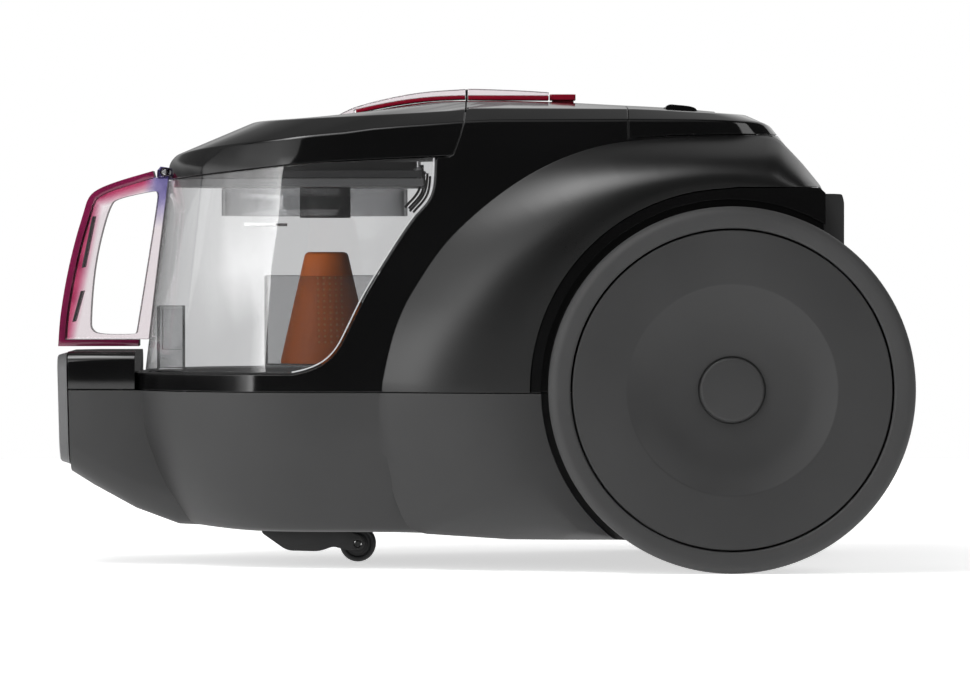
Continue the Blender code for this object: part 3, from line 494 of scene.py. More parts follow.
def plan(tip, cx, hw, xr, rc, zf, front=36, flank=14, rear=8):
    """A plan ring: elliptic front, straight flanks, rounded rear corners."""
    right = [(cx - (cx - tip) * math.cos(math.pi / 2 * i / front),
              hw * math.sin(math.pi / 2 * i / front)) for i in range(front + 1)]
    right += [(cx + (xr - rc - cx) * i / flank, hw) for i in range(1, flank + 1)]
    right += [(xr - rc + rc * math.sin(a), hw - rc + rc * math.cos(a))
              for a in (math.pi / 2 * i / rear for i in range(1, rear + 1))]
    right.append((xr + 0.25, 0.0))
    ring = right + [(x, -y) for x, y in right[-2:0:-1]]
    return [(x, y, zf(x)) for x, y in ring]


def capped(name, rings, crown=None):
    """Skin plan rings; both ends are closed with strips across the width."""
    n = len(rings[0])
    half = n // 2
    rings = list(rings)
    if crown:
        last = rings[-1]
        for f in (0.3, 0.6, 0.85):
            ring = []
            for x, y, z in last:
                zc = crown(x)
                ring.append((x, y * (1 - f), zc - (zc - z) * (1 - f) ** 2))
            ring[0], ring[half] = last[0], last[half]
            rings.append(ring)
    verts, faces = [p for r in rings for p in r], []
    for k in range(len(rings) - 1):
        a, b = k * n, (k + 1) * n
        for i in range(n):
            f = [a + i, a + (i + 1) % n, b + (i + 1) % n, b + i]
            ends = {i, (i + 1) % n} & {0, half}
            if crown and k >= len(rings) - 4 and ends:
                keep = next(iter(ends))
                f = [v for v in f if v != b + keep]
            faces.append(tuple(f))
    if crown:
        first = len(rings) - 4
        a = (len(rings) - 1) * n
        tip = {0: first * n, half: first * n + half}
        ids = [tip.get(i, a + i) for i in range(n)]
        mid = [ids[0]] + [len(verts) + i for i in range(half - 1)] + [ids[half]]
        verts += [(rings[-1][i][0], 0.0, crown(rings[-1][i][0])) for i in range(1, half)]
        faces = [tuple(tip[v % n] if v >= (first + 1) * n and v % n in tip else v for v in f)
                 for f in faces]
        faces = [f for f in (tuple(dict.fromkeys(f)) for f in faces) if len(f) > 2]
        for i in range(half):
            for p, q in ((ids[i], ids[i + 1]), (ids[(n - i) % n], ids[n - i - 1])):
                faces.append(tuple(dict.fromkeys([p, q, mid[i + 1], mid[i]])))
    for k in (0,) if crown else (0, len(rings) - 1):
        a = k * n
        faces += [(a + i, a + i + 1, a + n - i - 1, a + n - i) for i in range(1, half - 1)]
        faces += [(a, a + 1, a + n - 1), (a + half - 1, a + half, a + half + 1)]
    ob = mesh_object(name, verts, faces)
    bm = bmesh.new()
    bm.from_mesh(ob.data)
    loose = [v for v in bm.verts if not v.link_faces]
    bmesh.ops.delete(bm, geom=loose, context="VERTS")
    bm.to_mesh(ob.data)
    bm.free()
    return ob


def upper_form(name, off, floor=None):
    heights = {"low": lambda x: table(CREASE_LOW, x) - off,
               "top": lambda x: table(CREASE_TOP, x) - off,
               "crown": lambda x: table(CROWN, x) - 1.2 - off}
    levels = []
    for i, (h, tip, cx, hw, xr, rc) in enumerate(UPPER):
        zf = heights[h] if isinstance(h, str) else (lambda x, h=h: h)
        if i == 0 and floor is not None:
            zf = lambda x: floor
        levels.append(plan(tip + off, cx, hw - off, xr - off, rc - off, zf))
    columns = []
    for i in range(len(levels[0])):
        pts, col = [lv[i] for lv in levels], []
        for k, p in enumerate(pts):
            col += (corner(pts[k - 1], p, pts[k + 1], REACH[k], STEPS[k]) if STEPS[k] else [p])
        columns.append(col)
    rings = [[c[k] for c in columns] for k in range(len(columns[0]))]
    return capped(name, rings, lambda x: table(CROWN, x) - off)


def lower_form(name, off, top=90):
    rings = []
    for s, d in [(q, table(BOWL, q)) for q in ((j / 20) ** 1.8 for j in range(21))] + [(None, 0)]:
        def zf(x, s=s):
            if s is None:
                return top
            b = table(BOTTOM, x) + off
            return b + (PARTING_Z - b) * s
        rings.append(plan(-167 + d + off, BODY_CX, 100 - 0.85 * d - off, 160 - 0.9 * d - off,
                          30 - off, zf))
    return capped(name, rings, None)


def bin_form(name, off, z0=None, z1=None):
    rows, rings = list(BIN), []
    for end, near, z in ((0, 1, z0), (-1, -2, z1)):
        if z is not None:
            (za, ta, ha), (zb, tb, hb) = rows[end], rows[near]
            q = (z - za) / (zb - za)
            rows[end] = (z, ta + (tb - ta) * q, ha + (hb - ha) * q)
    for z, tip, hw in soften(rows, 12, 4):
        rings.append(plan(tip + off, BODY_CX, hw - off, 30, 8, lambda x, z=z: z, 40, 6, 4))
    return capped(name, rings, None)


def flare_form(name, side, off):
    """The swelling round a wheel: it leaves the body at its outline and flattens onto the arch."""
    rings = []
    for g in [None] + [j / 14 for j in range(15)]:
        ring = []
        for x, z in FLARE_LINE:
            dx, dz = x - WHEEL_X, z - WHEEL_Z
            r = math.hypot(dx, dz)
            ro = r - off
            ra = min(LIP_R + 3.0 - off, ro - 0.5)
            q = (ro + (ra - ro) * (g or 0.0)) / r
            px, pz = WHEEL_X + dx * q, WHEEL_Z + dz * q
            if r < 60:
                px, pz = x, z
            elif off == 0:
                px, pz = min(px, 159.6), max(pz, 13.8 + 1.2 * (g or 0.0))
            y = 87.0 - (5.0 if off else 0.0)
            if g is not None:
                y0 = table(SEAM, z)
                y = y0 + (FLARE_Y - y0) * g * (2.0 - g)
            ring.append((px, side * (y - off), pz))
        rings.append(ring)
    return stack(name, rings)


def arch_outline(r):
    pts = [(WHEEL_X - r, 82.2)]
    for i in range(1, 37):
        t = math.radians(180 - 87 * i / 36)
        pts.append((WHEEL_X + r * math.cos(t), WHEEL_Z + r * math.sin(t)))
    e = r - LIP_R
    return pts + [(120, 176.2 + e), (157 + e, 176.2 + e), (159.6 + e, 173.8 + e),
                  (159.6 + e, 82.2)]


def nose_ring(x, z0, z1, hw, rb, rt, tilt=0.0, n=10):
    """A rounded rectangle across X, with corner radii rb below and rt above."""
    pts = []
    for y, z, r, a0 in ((-hw, z0, rb, 180), (hw, z0, rb, 270), (hw, z1, rt, 0), (-hw, z1, rt, 90)):
        cy, cz = y - math.copysign(r, y), z + (r if a0 in (180, 270) else -r)
        for k in range(n + 1):
            a = math.radians(a0 + 90 * k / n)
            pts.append((x, cy + r * math.cos(a), cz + r * math.sin(a)))
    return [(px + (99 - pz) * tilt, y, pz) for px, y, pz in pts]


def nose_form(name, rb, rt, rows):
    """Skin rows of (x, z0, z1, half-width); the first leans back like the nose's flat front."""
    return stack(name, [nose_ring(*row, rb, rt, 0.0 if i else FRONT_LEAN)
                        for i, row in enumerate(rows)])


PIECES = []


def keep(ob, body, slot, *nodes, smooth=30, look=None):
    """Make ob a visible piece: the body it rides, its record slot, the CAD nodes it stands for.

    look is the material where the slot's own name isn't the one to show.
    """
    if ob.get("tool"):
        del ob["tool"]
        ob.hide_render = False
    ob.data.materials.append(MATS[look or slot])
    PIECES.append((ob, body, slot, nodes, smooth))
    return ob


SIDES = (("left", -1), ("right", 1))

# ---- base shell
bowl_in = lower_form("bowl_inside", WALL, top=96)
nose_in = nose_form("nose_inside", 11.5, 2, [
    (-189.4, 46.3, 96, 38.5), (-180, 39.8, 96, 40.5), (-160, 28.9, 96, 41.5),
    (-140, 21.6, 96, 41.5), (-126, 21.2, 96, 41.5)])
nose_low = nose_form("nose_outside", 14, 0.5, [
    (-191.9, 43.8, 92, 41), (-180, 37.3, 92, 43), (-160, 26.4, 92, 44), (-140, 19.0, 92, 44),
    (-128, 18.4, 92, 44)])
above = box("above_parting", -260, 260, -160, 160, PARTING_Z - 0.2, 300)
below = box("below_parting", -260, 260, -160, 160, -60, PARTING_Z + 0.3)

base = lower_form("lower_shell", 0.0)
join(base, nose_low)
for side, s in SIDES:
    join(base, flare_form("lower_flare_" + side, s, 0.0))
cut(base, above, bowl_in, nose_in)
for side, s in SIDES:
    f = flare_form("lower_flare_inside_" + side, s, WALL)
    cut(f, rod("arch_tube_" + side, "y", WHEEL, POCKET_R + WALL, s * 60, s * 140, 96))
    cut(base,
        f,
        rod("wheel_pocket_" + side, "y", WHEEL, POCKET_R, s * POCKET_FLOOR_Y, s * 150, 128))
    join(base, rod("axle_boss_" + side, "y", WHEEL, 22, s * 90, s * 106, 48))
    cut(base, rod("axle_bore_" + side, "y", WHEEL, AXLE_BORE, s * 80, s * 120, 32))
join(base,
     rod("caster_boss", "z", SWIVEL, 36.5, 18.8, 23, 72),
     rod("caster_post", "z", SWIVEL, 9, 21, 38, 40))
cut(base,
    rod("caster_recess", "z", SWIVEL, 34, 5, 19.8, 72),
    rod("caster_bore", "z", SWIVEL, CASTER_BORE, 5, 35, 32))
rib = box("fan_cradle", 9, 15, -84, 4, 16, 80)
cut(rib, rod("fan_seat", "x", MOTOR, 47.4, 0, 30, 64))
join(base, rib)
rib = box("motor_cradle", 98, 104, -78, -4, 16, 72)
cut(rib, rod("motor_seat", "x", MOTOR, 39.7, 90, 110, 64))
join(base,
     rib,
     box("reel_post_inner", 70, 90, 4.6, 7.8, 16, 106),
     box("reel_post_outer", 72, 88, 85, 96.4, 62, 104))
cut(base, rod("reel_axle_bore", "y", REEL, AXLE_BORE, 0, 92, 32))
for side, s in SIDES:
    join(base, box("cover_lug_" + side, 150, 168, *sorted((s * 52.6, s * 57)), 65.6, 72.4))
cut(base,
    rod("cover_pin_bore", "y", COVER, PIN_BORE, -55.5, 55.5, 24),
    rod("hose_bore_low", "x", HOSE, HOSE_BORE, -200, -184, 64))
for x, y in ((-120, 45), (-120, -45), (-20, 62), (-20, -62), (128, 62), (128, -62)):
    cut(base, rod("screw_well", "z", (x, y), 4.2, 5, table(BOTTOM, x) + 1.2, 28))
for k in range(5):
    cut(base, box("floor_groove", 64 + 9 * k, 67 + 9 * k, -40, 40, 5, table(BOTTOM, 66) + 0.8))
keep(base, "chassis", "matte_grey", "base_shell")

# ---- upper housing
H = [(AHEAD, 82.2), (AHEAD, 90)] + WINDOW_LINE
H += [(-12.6, 190.5), (-10.6, 191.8)] + [(x + GAP + 0.2, z) for x, z in LID_SEAM[1:]]
H += [(69.6, 235), (69.6, 198.8), (90, 200.2), (120, 200.7), (140, 200.5), (190, 200.5),
      (190, 82.2)]
inner_line = offset(H, -WALL)
H_in = [(x, 60 if z < 86 else z) for x, z in inner_line]
H_in = [(H_in[0][0] + WALL, 60)] + H_in[1:-1] + [(H_in[-1][0] - WALL, 60)]
housing = upper_form("upper_shell", 0.0)
clip(housing, prism("housing_outline", H, -WIDE, WIDE))
for side, s in SIDES:
    a = prism("arch_" + side, arch_outline(LIP_R), s * 97.6, s * (FLARE_Y - 0.6))
    cut(a, rod("arch_pocket_" + side, "y", WHEEL, POCKET_R, s * POCKET_FLOOR_Y, s * 150, 128))
    join(housing, a)
hollow = upper_form("housing_inside", WALL, floor=60)
clip(hollow, prism("housing_inside_outline", H_in, -WIDE, WIDE))
cut(hollow, box("channel_wall", -120, -41.5, -32.5, 32.5, 87.5, 150))
cut(housing,
    hollow,
    box("channel", -100, -44, -30, 30, 90, 150),
    rod("channel_port", "x", PORT, 11, -50, -38, 40),
    box("duct_opening", -155.6, -136.4, -19.4, 19.4, 80, 95))
for side, s in SIDES:
    cut(housing, rod("boss_notch_" + side, "y", WHEEL, 22.5, s * 80, s * 120, 48))
cut(housing,
    box("filter_opening", 150, 170, -46.5, 46.5, 92, 160),
    box("button_opening", BUTTON_X - 6.7, BUTTON_X + 6.5, -10.4, 10.4, 208, 240))
tower = box("button_tower", 28, 53, -11, 11, 193.5, 216)
cut(tower, box("button_room", 30.5, 50.5, -20, 20, 196, 240))
join(housing, tower)
for side, s in SIDES:
    cut(housing, rod("pedal_bore_" + side, "z", (PEDAL_X, s * PEDAL_Y), 4.3, 185, 210, 24))
for x0 in (PEDAL_X - 17, PEDAL_X + 13.3):
    join(housing, box("switch_clip", x0, x0 + 3.7, -38, -22, 172, 199))
for y0 in (22.6, 34.6):
    join(housing, box("brake_lug", 76, 86, y0, y0 + 2.8, 174, 199))
cut(housing,
    rod("brake_bore", "y", (81, 178.5), 1.9, 20, 40, 20),
    rod("cord_opening", "x", (64, 112), 7.4, 150, 170, 32))
keep(housing, "chassis", "gloss_black", "upper_housing")

# ---- nose
nose = nose_form("nose_top", 0.5, 6, [
    (-191.9, 82.3, 99.8, 41), (-180, 82.3, 100, 43), (-160.2, 82.3, 100, 44)])
cut(nose,
    nose_form("nose_top_inside", 1, 4, [
        (-189.4, 70, 97.3, 38.5), (-180, 70, 97.5, 40.5), (-163, 70, 97.5, 41.5)]),
    capped("tray_slab", [plan(-167.4, -75, 100.4, 160.4, 30, lambda x, z=z: z)
                         for z in (70, 90.5)]),
    rod("hose_bore_high", "x", HOSE, HOSE_BORE, -200, -184, 64))
keep(nose, "chassis", "gloss_black", "nose_cover")

BEZEL = [(-197.0, 49.1, 97.5, 36.8, 10.8, 7.9), (-196.5, 48.2, 98.3, 37.7, 11.7, 8.7),
         (-195.6, 47.9, 98.6, 38, 12, 9), (-192.5, 46.9, 99.2, 39.5, 13, 9)]
bezel = stack("inlet_bezel", [nose_ring(*row, FRONT_LEAN) for row in BEZEL])
cut(bezel,
    rod("hose_bore_bezel", "x", HOSE, 17.4, -210, -180, 96),
    turned("bezel_groove", "x", HOSE, [(20.4, -205), (21.6, -205), (21.6, -193.4),
        (20.4, -193.4)], 96))
for a in range(4):
    t = math.radians(45 + 90 * a)
    cut(bezel, rod("bezel_screw", "x", (27 * math.cos(t) * 1.08, 73 + 20.5 * math.sin(t)), 1.7,
        -205, -193.6, 24))
keep(bezel, "chassis", "light_grey", "hose_inlet_bezel")

DUCT = [(-190.0, 73, 1.4, 17.2, 17.2), (-180, 71.5, -8, 16, 17.6), (-168, 68.5, 0, 12.5, 18),
        (-157, 69.8, 25, 10.5, 18.3), (-149.5, 76, 60, 9.3, 18.5), (-146, 84, 88, 9, 18.7),
        (-146, 89.7, 90, 9, 18.7)]


def duct_rings(shrink):
    rings = []
    for i, (x, z, a, h, w) in enumerate(DUCT):
        a, sq, ring = math.radians(a), min(i / 4, 1.0), []
        for k in range(56):
            t = 2 * math.pi * k / 56
            c, s = math.cos(t), math.sin(t)
            p = 1.0 - 0.55 * sq
            u = math.copysign(abs(c) ** p, c) * (h - shrink)
            v = math.copysign(abs(s) ** p, s) * (w - shrink)
            ring.append((x - u * math.sin(a), v, z + u * math.cos(a)))
        rings.append(ring)
    return rings


keep(stack("suction_duct", duct_rings(0.05) + duct_rings(1.8)[::-1], closed=True),
     "chassis", "matte_black", "inlet_duct", smooth=50)

# ---- fenders
body_skin = upper_form("body_skin", -0.35, floor=70)
for side, s in SIDES:
    f = flare_form("wheel_arch_" + side, s, 0.0)
    cut(f,
        below,
        flare_form("arch_inside_" + side, s, WALL),
        body_skin)
    line = arch_outline(LIP_R + 0.4)
    line = [(line[0][0], 60)] + line[:-1] + [(line[-1][0], 60)]
    cut(f, prism("fender_arch_" + side, line, s * 80, s * 140))
    keep(f, "chassis", "matte_black", "fender_" + side)

# ---- rear cover, pedals, button
cover_side = [(70, 199.3), (90, 200.7), (120, 201.2), (139, 201.0), (170, 201.0), (170, 235),
              (70, 235)]
cover = upper_form("rear_cap", 0.0)
clip(cover, prism("cover_outline", cover_side, -WIDE, WIDE))
room = upper_form("cover_inside", WALL)
clip(room, box("cover_inside_box", 72.5, 170, -WIDE, WIDE, 180, 240))
cut(cover, room)
for side, s, name in (("left", -1, "power"), ("right", 1, "rewind")):
    y = s * PEDAL_Y
    cut(cover, box("pedal_opening_" + side, PEDAL_X - 8, PEDAL_X + 8, y - 13, y + 13, 205, 230))
    p = box(name + "_key", PEDAL_X - 10, PEDAL_X + 10, y - 15, y + 15, 207.2, 209.2)
    crown = soften([(PEDAL_X - 7.6, 208), (PEDAL_X + 7.6, 208), (PEDAL_X + 7.6, 213.3),
                    (PEDAL_X + 5.5, 214.5), (PEDAL_X + 2, 215.1), (PEDAL_X - 2, 215.4),
                    (PEDAL_X - 5.5, 215.8), (PEDAL_X - 7.6, 214.6)],
                   [0, 0] + [FULL] * 6, 3, closed=True)
    c = bevel(prism("pedal_crown_" + side, crown, y - 12.6, y + 12.6), 0.6, 2)
    for k in range(3):
        x0 = PEDAL_X - 4.6 + 3.6 * k
        cut(c, box("pedal_rib", x0, x0 + 1.2, y - 10, y + 10, 215.35, 220))
    join(p, c)
    end = 190.6 if s < 0 else 183.2
    join(p, rod("pedal_stem_" + side, "z", (PEDAL_X, y), 3.6, end, 208.5, 28))
    keep(p, "power_switch_pedal" if s < 0 else "cord_rewind_pedal", "gloss_black",
         name + "_pedal")
keep(cover, "chassis", "gloss_black", "rear_top_cover")

button = bevel(box("release_key", BUTTON_X - 6.2, BUTTON_X + 6, -10, 10, 218.2, 221.0), 0.9, 4)
join(button,
     box("button_stem", BUTTON_X - 5.1, BUTTON_X + 5.1, -7.1, 7.1, 206, 218.6),
     box("button_foot", BUTTON_X - 8.6, BUTTON_X + 8.6, -9.4, 9.4, 204, 206.5))
keep(button, "bin_release", "crimson", "release_button")

keep(bevel(prism("spine_strip", [(-4.4, 218.4), (33.8, 218.2), (33.8, 220.2), (-4.4, 220.3)],
                 -12, 12), 0.3, 2), "chassis", "crimson", "top_trim_red")
keep(bevel(prism("spine_glaze", [(-4.4, 220.6), (33.8, 220.5), (33.8, 221.9)]
                 + soften([(33.8, 221.9), (20, 222.8), (0, 223.5), (-4.4, 223.5)], FULL, 4)[1:],
                 -12.5, 12.5), 0.5, 3), "chassis", "clear_pink", "top_trim_clear")

# ---- wheels
for side, s in SIDES:
    def sided(profile):
        return [(r, s * h) for r, h in profile]
    body = side + "_wheel"
    disc = [(6.4, 113), (11, 113), (12, 125), (38, 128.2), (47, 132.8), (69.6, 133.6),
            (69.6, 114), (72.9, 114), (72.9, 136.6), (48.2, 136.7), (46.6, 135.9), (34, 130.4),
            (15.4, 129.0), (15.2, 128.6), (6.4, 128.4)]
    disc = soften(disc, [0.4, 0.4, 1, 2, 2, 0.4, 0.4, 0.4, 0.7, 0.5, 1.2, 9, 0, 0, 0], 4,
                  closed=True)
    keep(turned(side + "_disc", "y", WHEEL, sided(disc), 160), body, "matte_grey",
         side + "_wheel_disc")
    tread = [(73.6, 114.0), (81, 113.0), (83.8, 116.5)]
    for h in (119.6, 124.4, 129.2):
        tread += [(83.8, h), (83.1, h + 0.25), (83.1, h + 1.25), (83.8, h + 1.5)]
    tread += [(83.8, 134.4), (80.6, 137.5), (74.6, 137.0), (73.8, 136.3)]
    tread = soften(tread, [0.3, 1, 1.5] + [0.15] * 12 + [2.2, 1.6, 0.3, 0.3], 3, closed=True)
    keep(turned(side + "_tread", "y", WHEEL, sided(tread), 160), body, "rubber", side + "_tyre")
    hub = soften([(14.7, 129.4), (14.7, 131.3), (13.6, 131.9), (2, 132.4)], 0.7, 4)
    keep(lathe(side + "_cap", "y", WHEEL, sided(hub), 96), body, "matte_grey", side + "_hub_cap")

# ---- caster
fork_line = soften([(-102, 15.4), (-101.6, 13.6), (-90, 5.4), (-74.5, 5.0), (-68, 7.4),
                    (-62, 5.6), (-54.5, 5.6), (-52.6, 8.6), (-54.5, 12.2), (-64, 15.4)],
                   [0, 1, 3, 3, 2, 2, 2, 2, 2, 2], 4, closed=True)
fork = bevel(prism("caster_yoke", fork_line, -9.6, 9.6), 0.7, 2)
cut(fork, box("roller_slot", -67, -40, -6.6, 6.6, -5, 30))
join(fork, rod("fork_boss", "z", SWIVEL, 8.5, 12, 19.4, 40))
cut(fork,
    rod("fork_bore", "z", SWIVEL, CASTER_BORE, 8, 30, 32),
    rod("fork_axle_bore", "y", ROLLER, PIN_BORE, -20, 20, 20))
keep(fork, "caster", "matte_grey", "caster_fork")
keep(turned("caster_tread", "y", ROLLER,
            [(1.8, -6), (4.4, -6), (4.8, -5.4), (6.0, -5.4), (6.4, -6), (7.6, -6), (8.5, -5),
             (8.5, -0.6), (8.1, 0), (8.5, 0.6), (8.5, 5), (7.6, 6), (6.4, 6), (6.0, 5.4),
             (4.8, 5.4), (4.4, 6), (1.8, 6)], 64, reach=0.3), "caster_wheel", "rubber",
     "caster_roller", look="rubber_dark")
skid = bevel(prism("rub_strip", [(14, 13.55), (17, 11.9), (53, 11.9), (56, 13.35)], -24, 24),
             0.5, 2)
for k in range(4):
    cut(skid, box("skid_groove", 20 + 8.5 * k, 22 + 8.5 * k, -30, 30, 10, 12.4))
keep(skid, "chassis", "matte_black", "bottom_skid")

# ---- dust bin
edge = offset(WINDOW_LINE, 0.9)
edge_in = offset(WINDOW_LINE, 3.2)
rim = [(x, z - 0.6) for x, z in EDGE_LINE[:-1]][::-1]
BIN_SIDE = [(AHEAD, 87), (-89, 87)] + edge + [(edge[-1][0], 190.2)]
BIN_SIDE += [p for p in rim if p[0] < edge[-1][0] - 0.2] + [(AHEAD, 179.6)]
BIN_HOLLOW = [(AHEAD, 93.2), (-85, 93.2)] + [p for p in edge_in if p[0] > -84] + [
    (edge_in[-1][0], 230), (AHEAD, 230)]
tub = bin_form("container", 0.0, z0=84)
clip(tub, prism("bin_outline", BIN_SIDE, -WIDE, WIDE))
join(tub, box("bin_channel", -90, -44.9, -29.2, 29.2, 88, 137.5))
hollow = bin_form("bin_inside", 2.2, z0=85, z1=240)
clip(hollow, prism("bin_inside_outline", BIN_HOLLOW, -WIDE, WIDE))
join(hollow, box("bin_channel_inside", -100, -47.1, -27, 27, 93.2, 135.3))
cut(tub, hollow)
inlet = box("inlet_box", -158, -137, -18.6, 18.6, 89, 123)
clip(inlet, bin_form("inlet_trim", 0.8, z0=84))
join(tub, inlet)
cut(tub,
    box("bin_underside", -200, 0, -WIDE, WIDE, 60, 91),
    box("inlet_box_inside", -151, -139, -16.4, 16.4, 80, 121),
    box("inlet_mouth", -150, -140, 10, 30, 100, 119),
    rod("bin_port", "x", PORT, 10.4, -52, -40, 40))
keep(tub, "bin", "clear", "dust_bin")


def studs(name, places, r, length, sides=8):
    """Many small pegs in one mesh; each place is a start point and a unit direction."""
    verts, faces = [], []
    for p, d in places:
        p, d = Vector(p), Vector(d)
        u = d.orthogonal().normalized()
        v = d.cross(u)
        base = len(verts)
        for h in (0.0, length):
            for k in range(sides):
                a = 2 * math.pi * (k + 0.5) / sides
                verts.append(tuple(p + d * h + u * r * math.cos(a) + v * r * math.sin(a)))
        faces += [(base + k, base + (k + 1) % sides, base + sides + (k + 1) % sides,
                   base + sides + k) for k in range(sides)]
        faces += [tuple(base + k for k in range(sides)),
                  tuple(base + sides + k for k in range(sides))]
    return mesh_object(name, verts, faces)


# ---- cone filter
cone_out = [(7.4, 145.0), (9.0, 143.8), (20.1, 93.8), (21.6, 93.8), (21.6, 95.2), (10.4, 144.6),
            (9.8, 145.8), (8.4, 146.5)]
cone = lathe("filter_cone", "z", CONE, cone_out, 96)
join(cone, rod("cone_arm", "x", PORT, 12.5, -66, -47.7, 48))
cut(cone, rod("cone_arm_bore", "x", PORT, 10.6, -72, -40, 48))
holes = []
for panel in range(4):
    for row in range(12):
        z = 104.0 + 2.75 * row
        skin = 21.6 + (10.4 - 21.6) * (z - 95.2) / (144.6 - 95.2)
        for col in (-2, -1, 0, 1, 2):
            t = math.radians(-82 + 90 * panel) + col * 2.9 / skin
            if panel == 1 or abs(col * 2.9 / skin) > 0.7:
                continue
            d = (math.cos(t), math.sin(t), 0.0)
            holes.append(((CONE[0] + (skin - 3.5) * d[0], (skin - 3.5) * d[1], z), d))
cut(cone, studs("cone_holes", holes, 0.62, 5.5))
keep(studs("cone_mesh", holes, 0.6, 3.3), "bin", "orange", look="orange_light")
keep(cone, "bin", "orange", "cone_filter")

# ---- bin handle
grip = HANDLE_LINE + offset(HANDLE_LINE, -3.0)[::-1]
keep(bevel(prism("grip_skin", grip, -9.6, 9.6), 0.7, 3), "bin", "crimson", "bin_handle_grip",
     look="crimson_clear")
inner = offset(HANDLE_LINE, -3.3)
handle = bevel(prism("grip_frame", inner[1:-1] + [(-152.6, 181.6), (-149.4, 182.2), (-144, 183),
                                                  (-150, 105.3)], -8.4, 8.4), 0.6, 3)
cut(handle,
    prism("handle_hole", HOLE_LINE, -20, 20),
    bin_form("handle_seat", -0.3, z0=60))
join(handle, prism("hinge_lugs", [(-151.5, 179), (-146.9, 179.2), (-146.2, 186.4),
     (-149.6, 186.9), (-151.2, 185)], -8.2, 8.2))
cut(handle,
    box("tongue_slot", -151.0, -140, -4.5, 4.5, 181.2, 192),
    rod("hinge_bore", "y", HINGE, HINGE_BORE, -20, 20, 24))
keep(handle, "bin", "clear_pink", "bin_handle")
for name, slit in (("upper", [(-181.9, 163.2), (-180.8, 163.4), (-185.7, 139.4), (-186.9, 139)]),
                   ("lower", [(-187.4, 128), (-186.2, 128.2), (-190.3, 113.6), (-191.4, 113.4)])):
    keep(prism("frame_slit_" + name, slit, -8.5, 8.5), "bin", "matte_black", look="rubber_dark")
keep(rod("hinge_rod", "y", HINGE, 1.0, -8.2, 8.2, 24), "bin", "steel", "lid_hinge_pin")

# ---- lid
LID = EDGE_LINE + [(-11.8, 191.4)] + LID_SEAM + [(AHEAD, 235), (AHEAD, 180.6)]
LID_HOLLOW = [(AHEAD, 150), (-15, 150), (-14.6, 192.4)] + offset(LID_SEAM, 2.5)[1:]
LID_HOLLOW += [(AHEAD, 240)]
lid = upper_form("bin_cover", 0.0)
clip(lid, prism("lid_outline", LID, -WIDE, WIDE))
hollow = upper_form("lid_inside", WALL, floor=60)
clip(hollow, prism("lid_inside_outline", LID_HOLLOW, -WIDE, WIDE))
cut(lid, hollow, box("lug_clearance", -160, -143.9, -8.9, 8.9, 178, 187.4))
tongue = box("tongue", -148, -142.2, -4.1, 4.1, 182.4, 186.2)
join(tongue, rod("knuckle", "y", HINGE, 2.1, -4.1, 4.1, 32))
join(lid, tongue)
cut(lid, rod("knuckle_bore", "y", HINGE, HINGE_BORE, -20, 20, 24))
keep(lid, "lid", "gloss_black", "bin_lid")

plate = bin_form("lid_floor", 3.1)
clip(plate, box("plate_outline", AHEAD, -24.6, -WIDE, WIDE, 177, 180.6))
cut(plate, rod("plate_bore", "z", TUBE, 12.3, 160, 200, 64))
keep(plate, "lid", "light_grey", "lid_plate")
seal = bin_form("lid_gasket", 3.6)
clip(seal, box("seal_outline", AHEAD, -25.4, -WIDE, WIDE, 181, 184.4))
room = bin_form("seal_room", 8.0)
clip(room, box("seal_room_box", AHEAD, -30, -WIDE, WIDE, 170, 195))
cut(seal, room, box("tongue_clearance", -160, -141.6, -4.8, 4.8, 170, 200))
keep(seal, "lid", "rubber", "lid_seal", look="rubber_dark")
keep(turned("outlet_tube", "z", TUBE, [(10.2, 162.6), (12, 162.6), (12, 185), (10.2, 185)],
            96, reach=0.4), "lid", "matte_black", "vortex_tube")
keep(turned("skirt_ring", "z", SKIRT, [(42.4, 163.4), (44, 163.4), (44, 176.6), (42.4, 176.6)],
            120, reach=0.4), "lid", "clear", "cyclone_skirt")
keep(bevel(prism("lid_spine", RED_LINE + offset(RED_LINE, 1.7)[::-1], -12, 12), 0.3, 2),
     "lid", "crimson", "lid_trim_red")
low = offset(RED_LINE, 2.0)
keep(bevel(prism("lid_glaze", CLEAR_LINE + low[::-1] + [(-58.4, 213.6), (-58.2, 211.9)], -12.5,
                 12.5), 0.4, 3), "lid", "clear_pink", "lid_trim_clear")

# ---- exhaust
DOOR = [(160.8, 69), (162, 66), (165, 64.8), (168.4, 65.6), (170, 69), (171.3, 90), (171.3, 170),
        (170.3, 173.6), (166, 173.8), (160.8, 173.8)]
door = prism("exhaust_grille", soften(DOOR, [1, 2, 2, 2, 3, 2, 1.5, 1, 1, 0.4], 4, closed=True),
             -52, 52)
bevel(door, 0.8, 3)
cut(door, box("door_room", 159, 168.6, -49.4, 49.4, 78, 170.5))
for k in range(7):
    for y0 in (-40, -12.4, 15.2):
        z = 95 + 9 * k
        cut(door, box("louvre", 165, 175, y0, y0 + 24.8, z, z + 4))
cut(door, rod("door_bore", "y", COVER, PIN_BORE, -60, 60, 24))
keep(door, "exhaust_door", "matte_black", "exhaust_cover", look="matte_grey")

# ---- details that no CAD node stands for
def on_wall(x, z):
    """Y of the container's left wall at x and z, for z within BIN."""
    for (za, ta, ha), (zb, tb, hb) in zip(BIN, BIN[1:]):
        if za <= z <= zb:
            q = (z - za) / (zb - za)
            tip, hw = ta + (tb - ta) * q, ha + (hb - ha) * q
    if x > BODY_CX:
        return -hw
    return -hw * math.sqrt(max(1.0 - ((BODY_CX - x) / (BODY_CX - tip)) ** 2, 0.0))


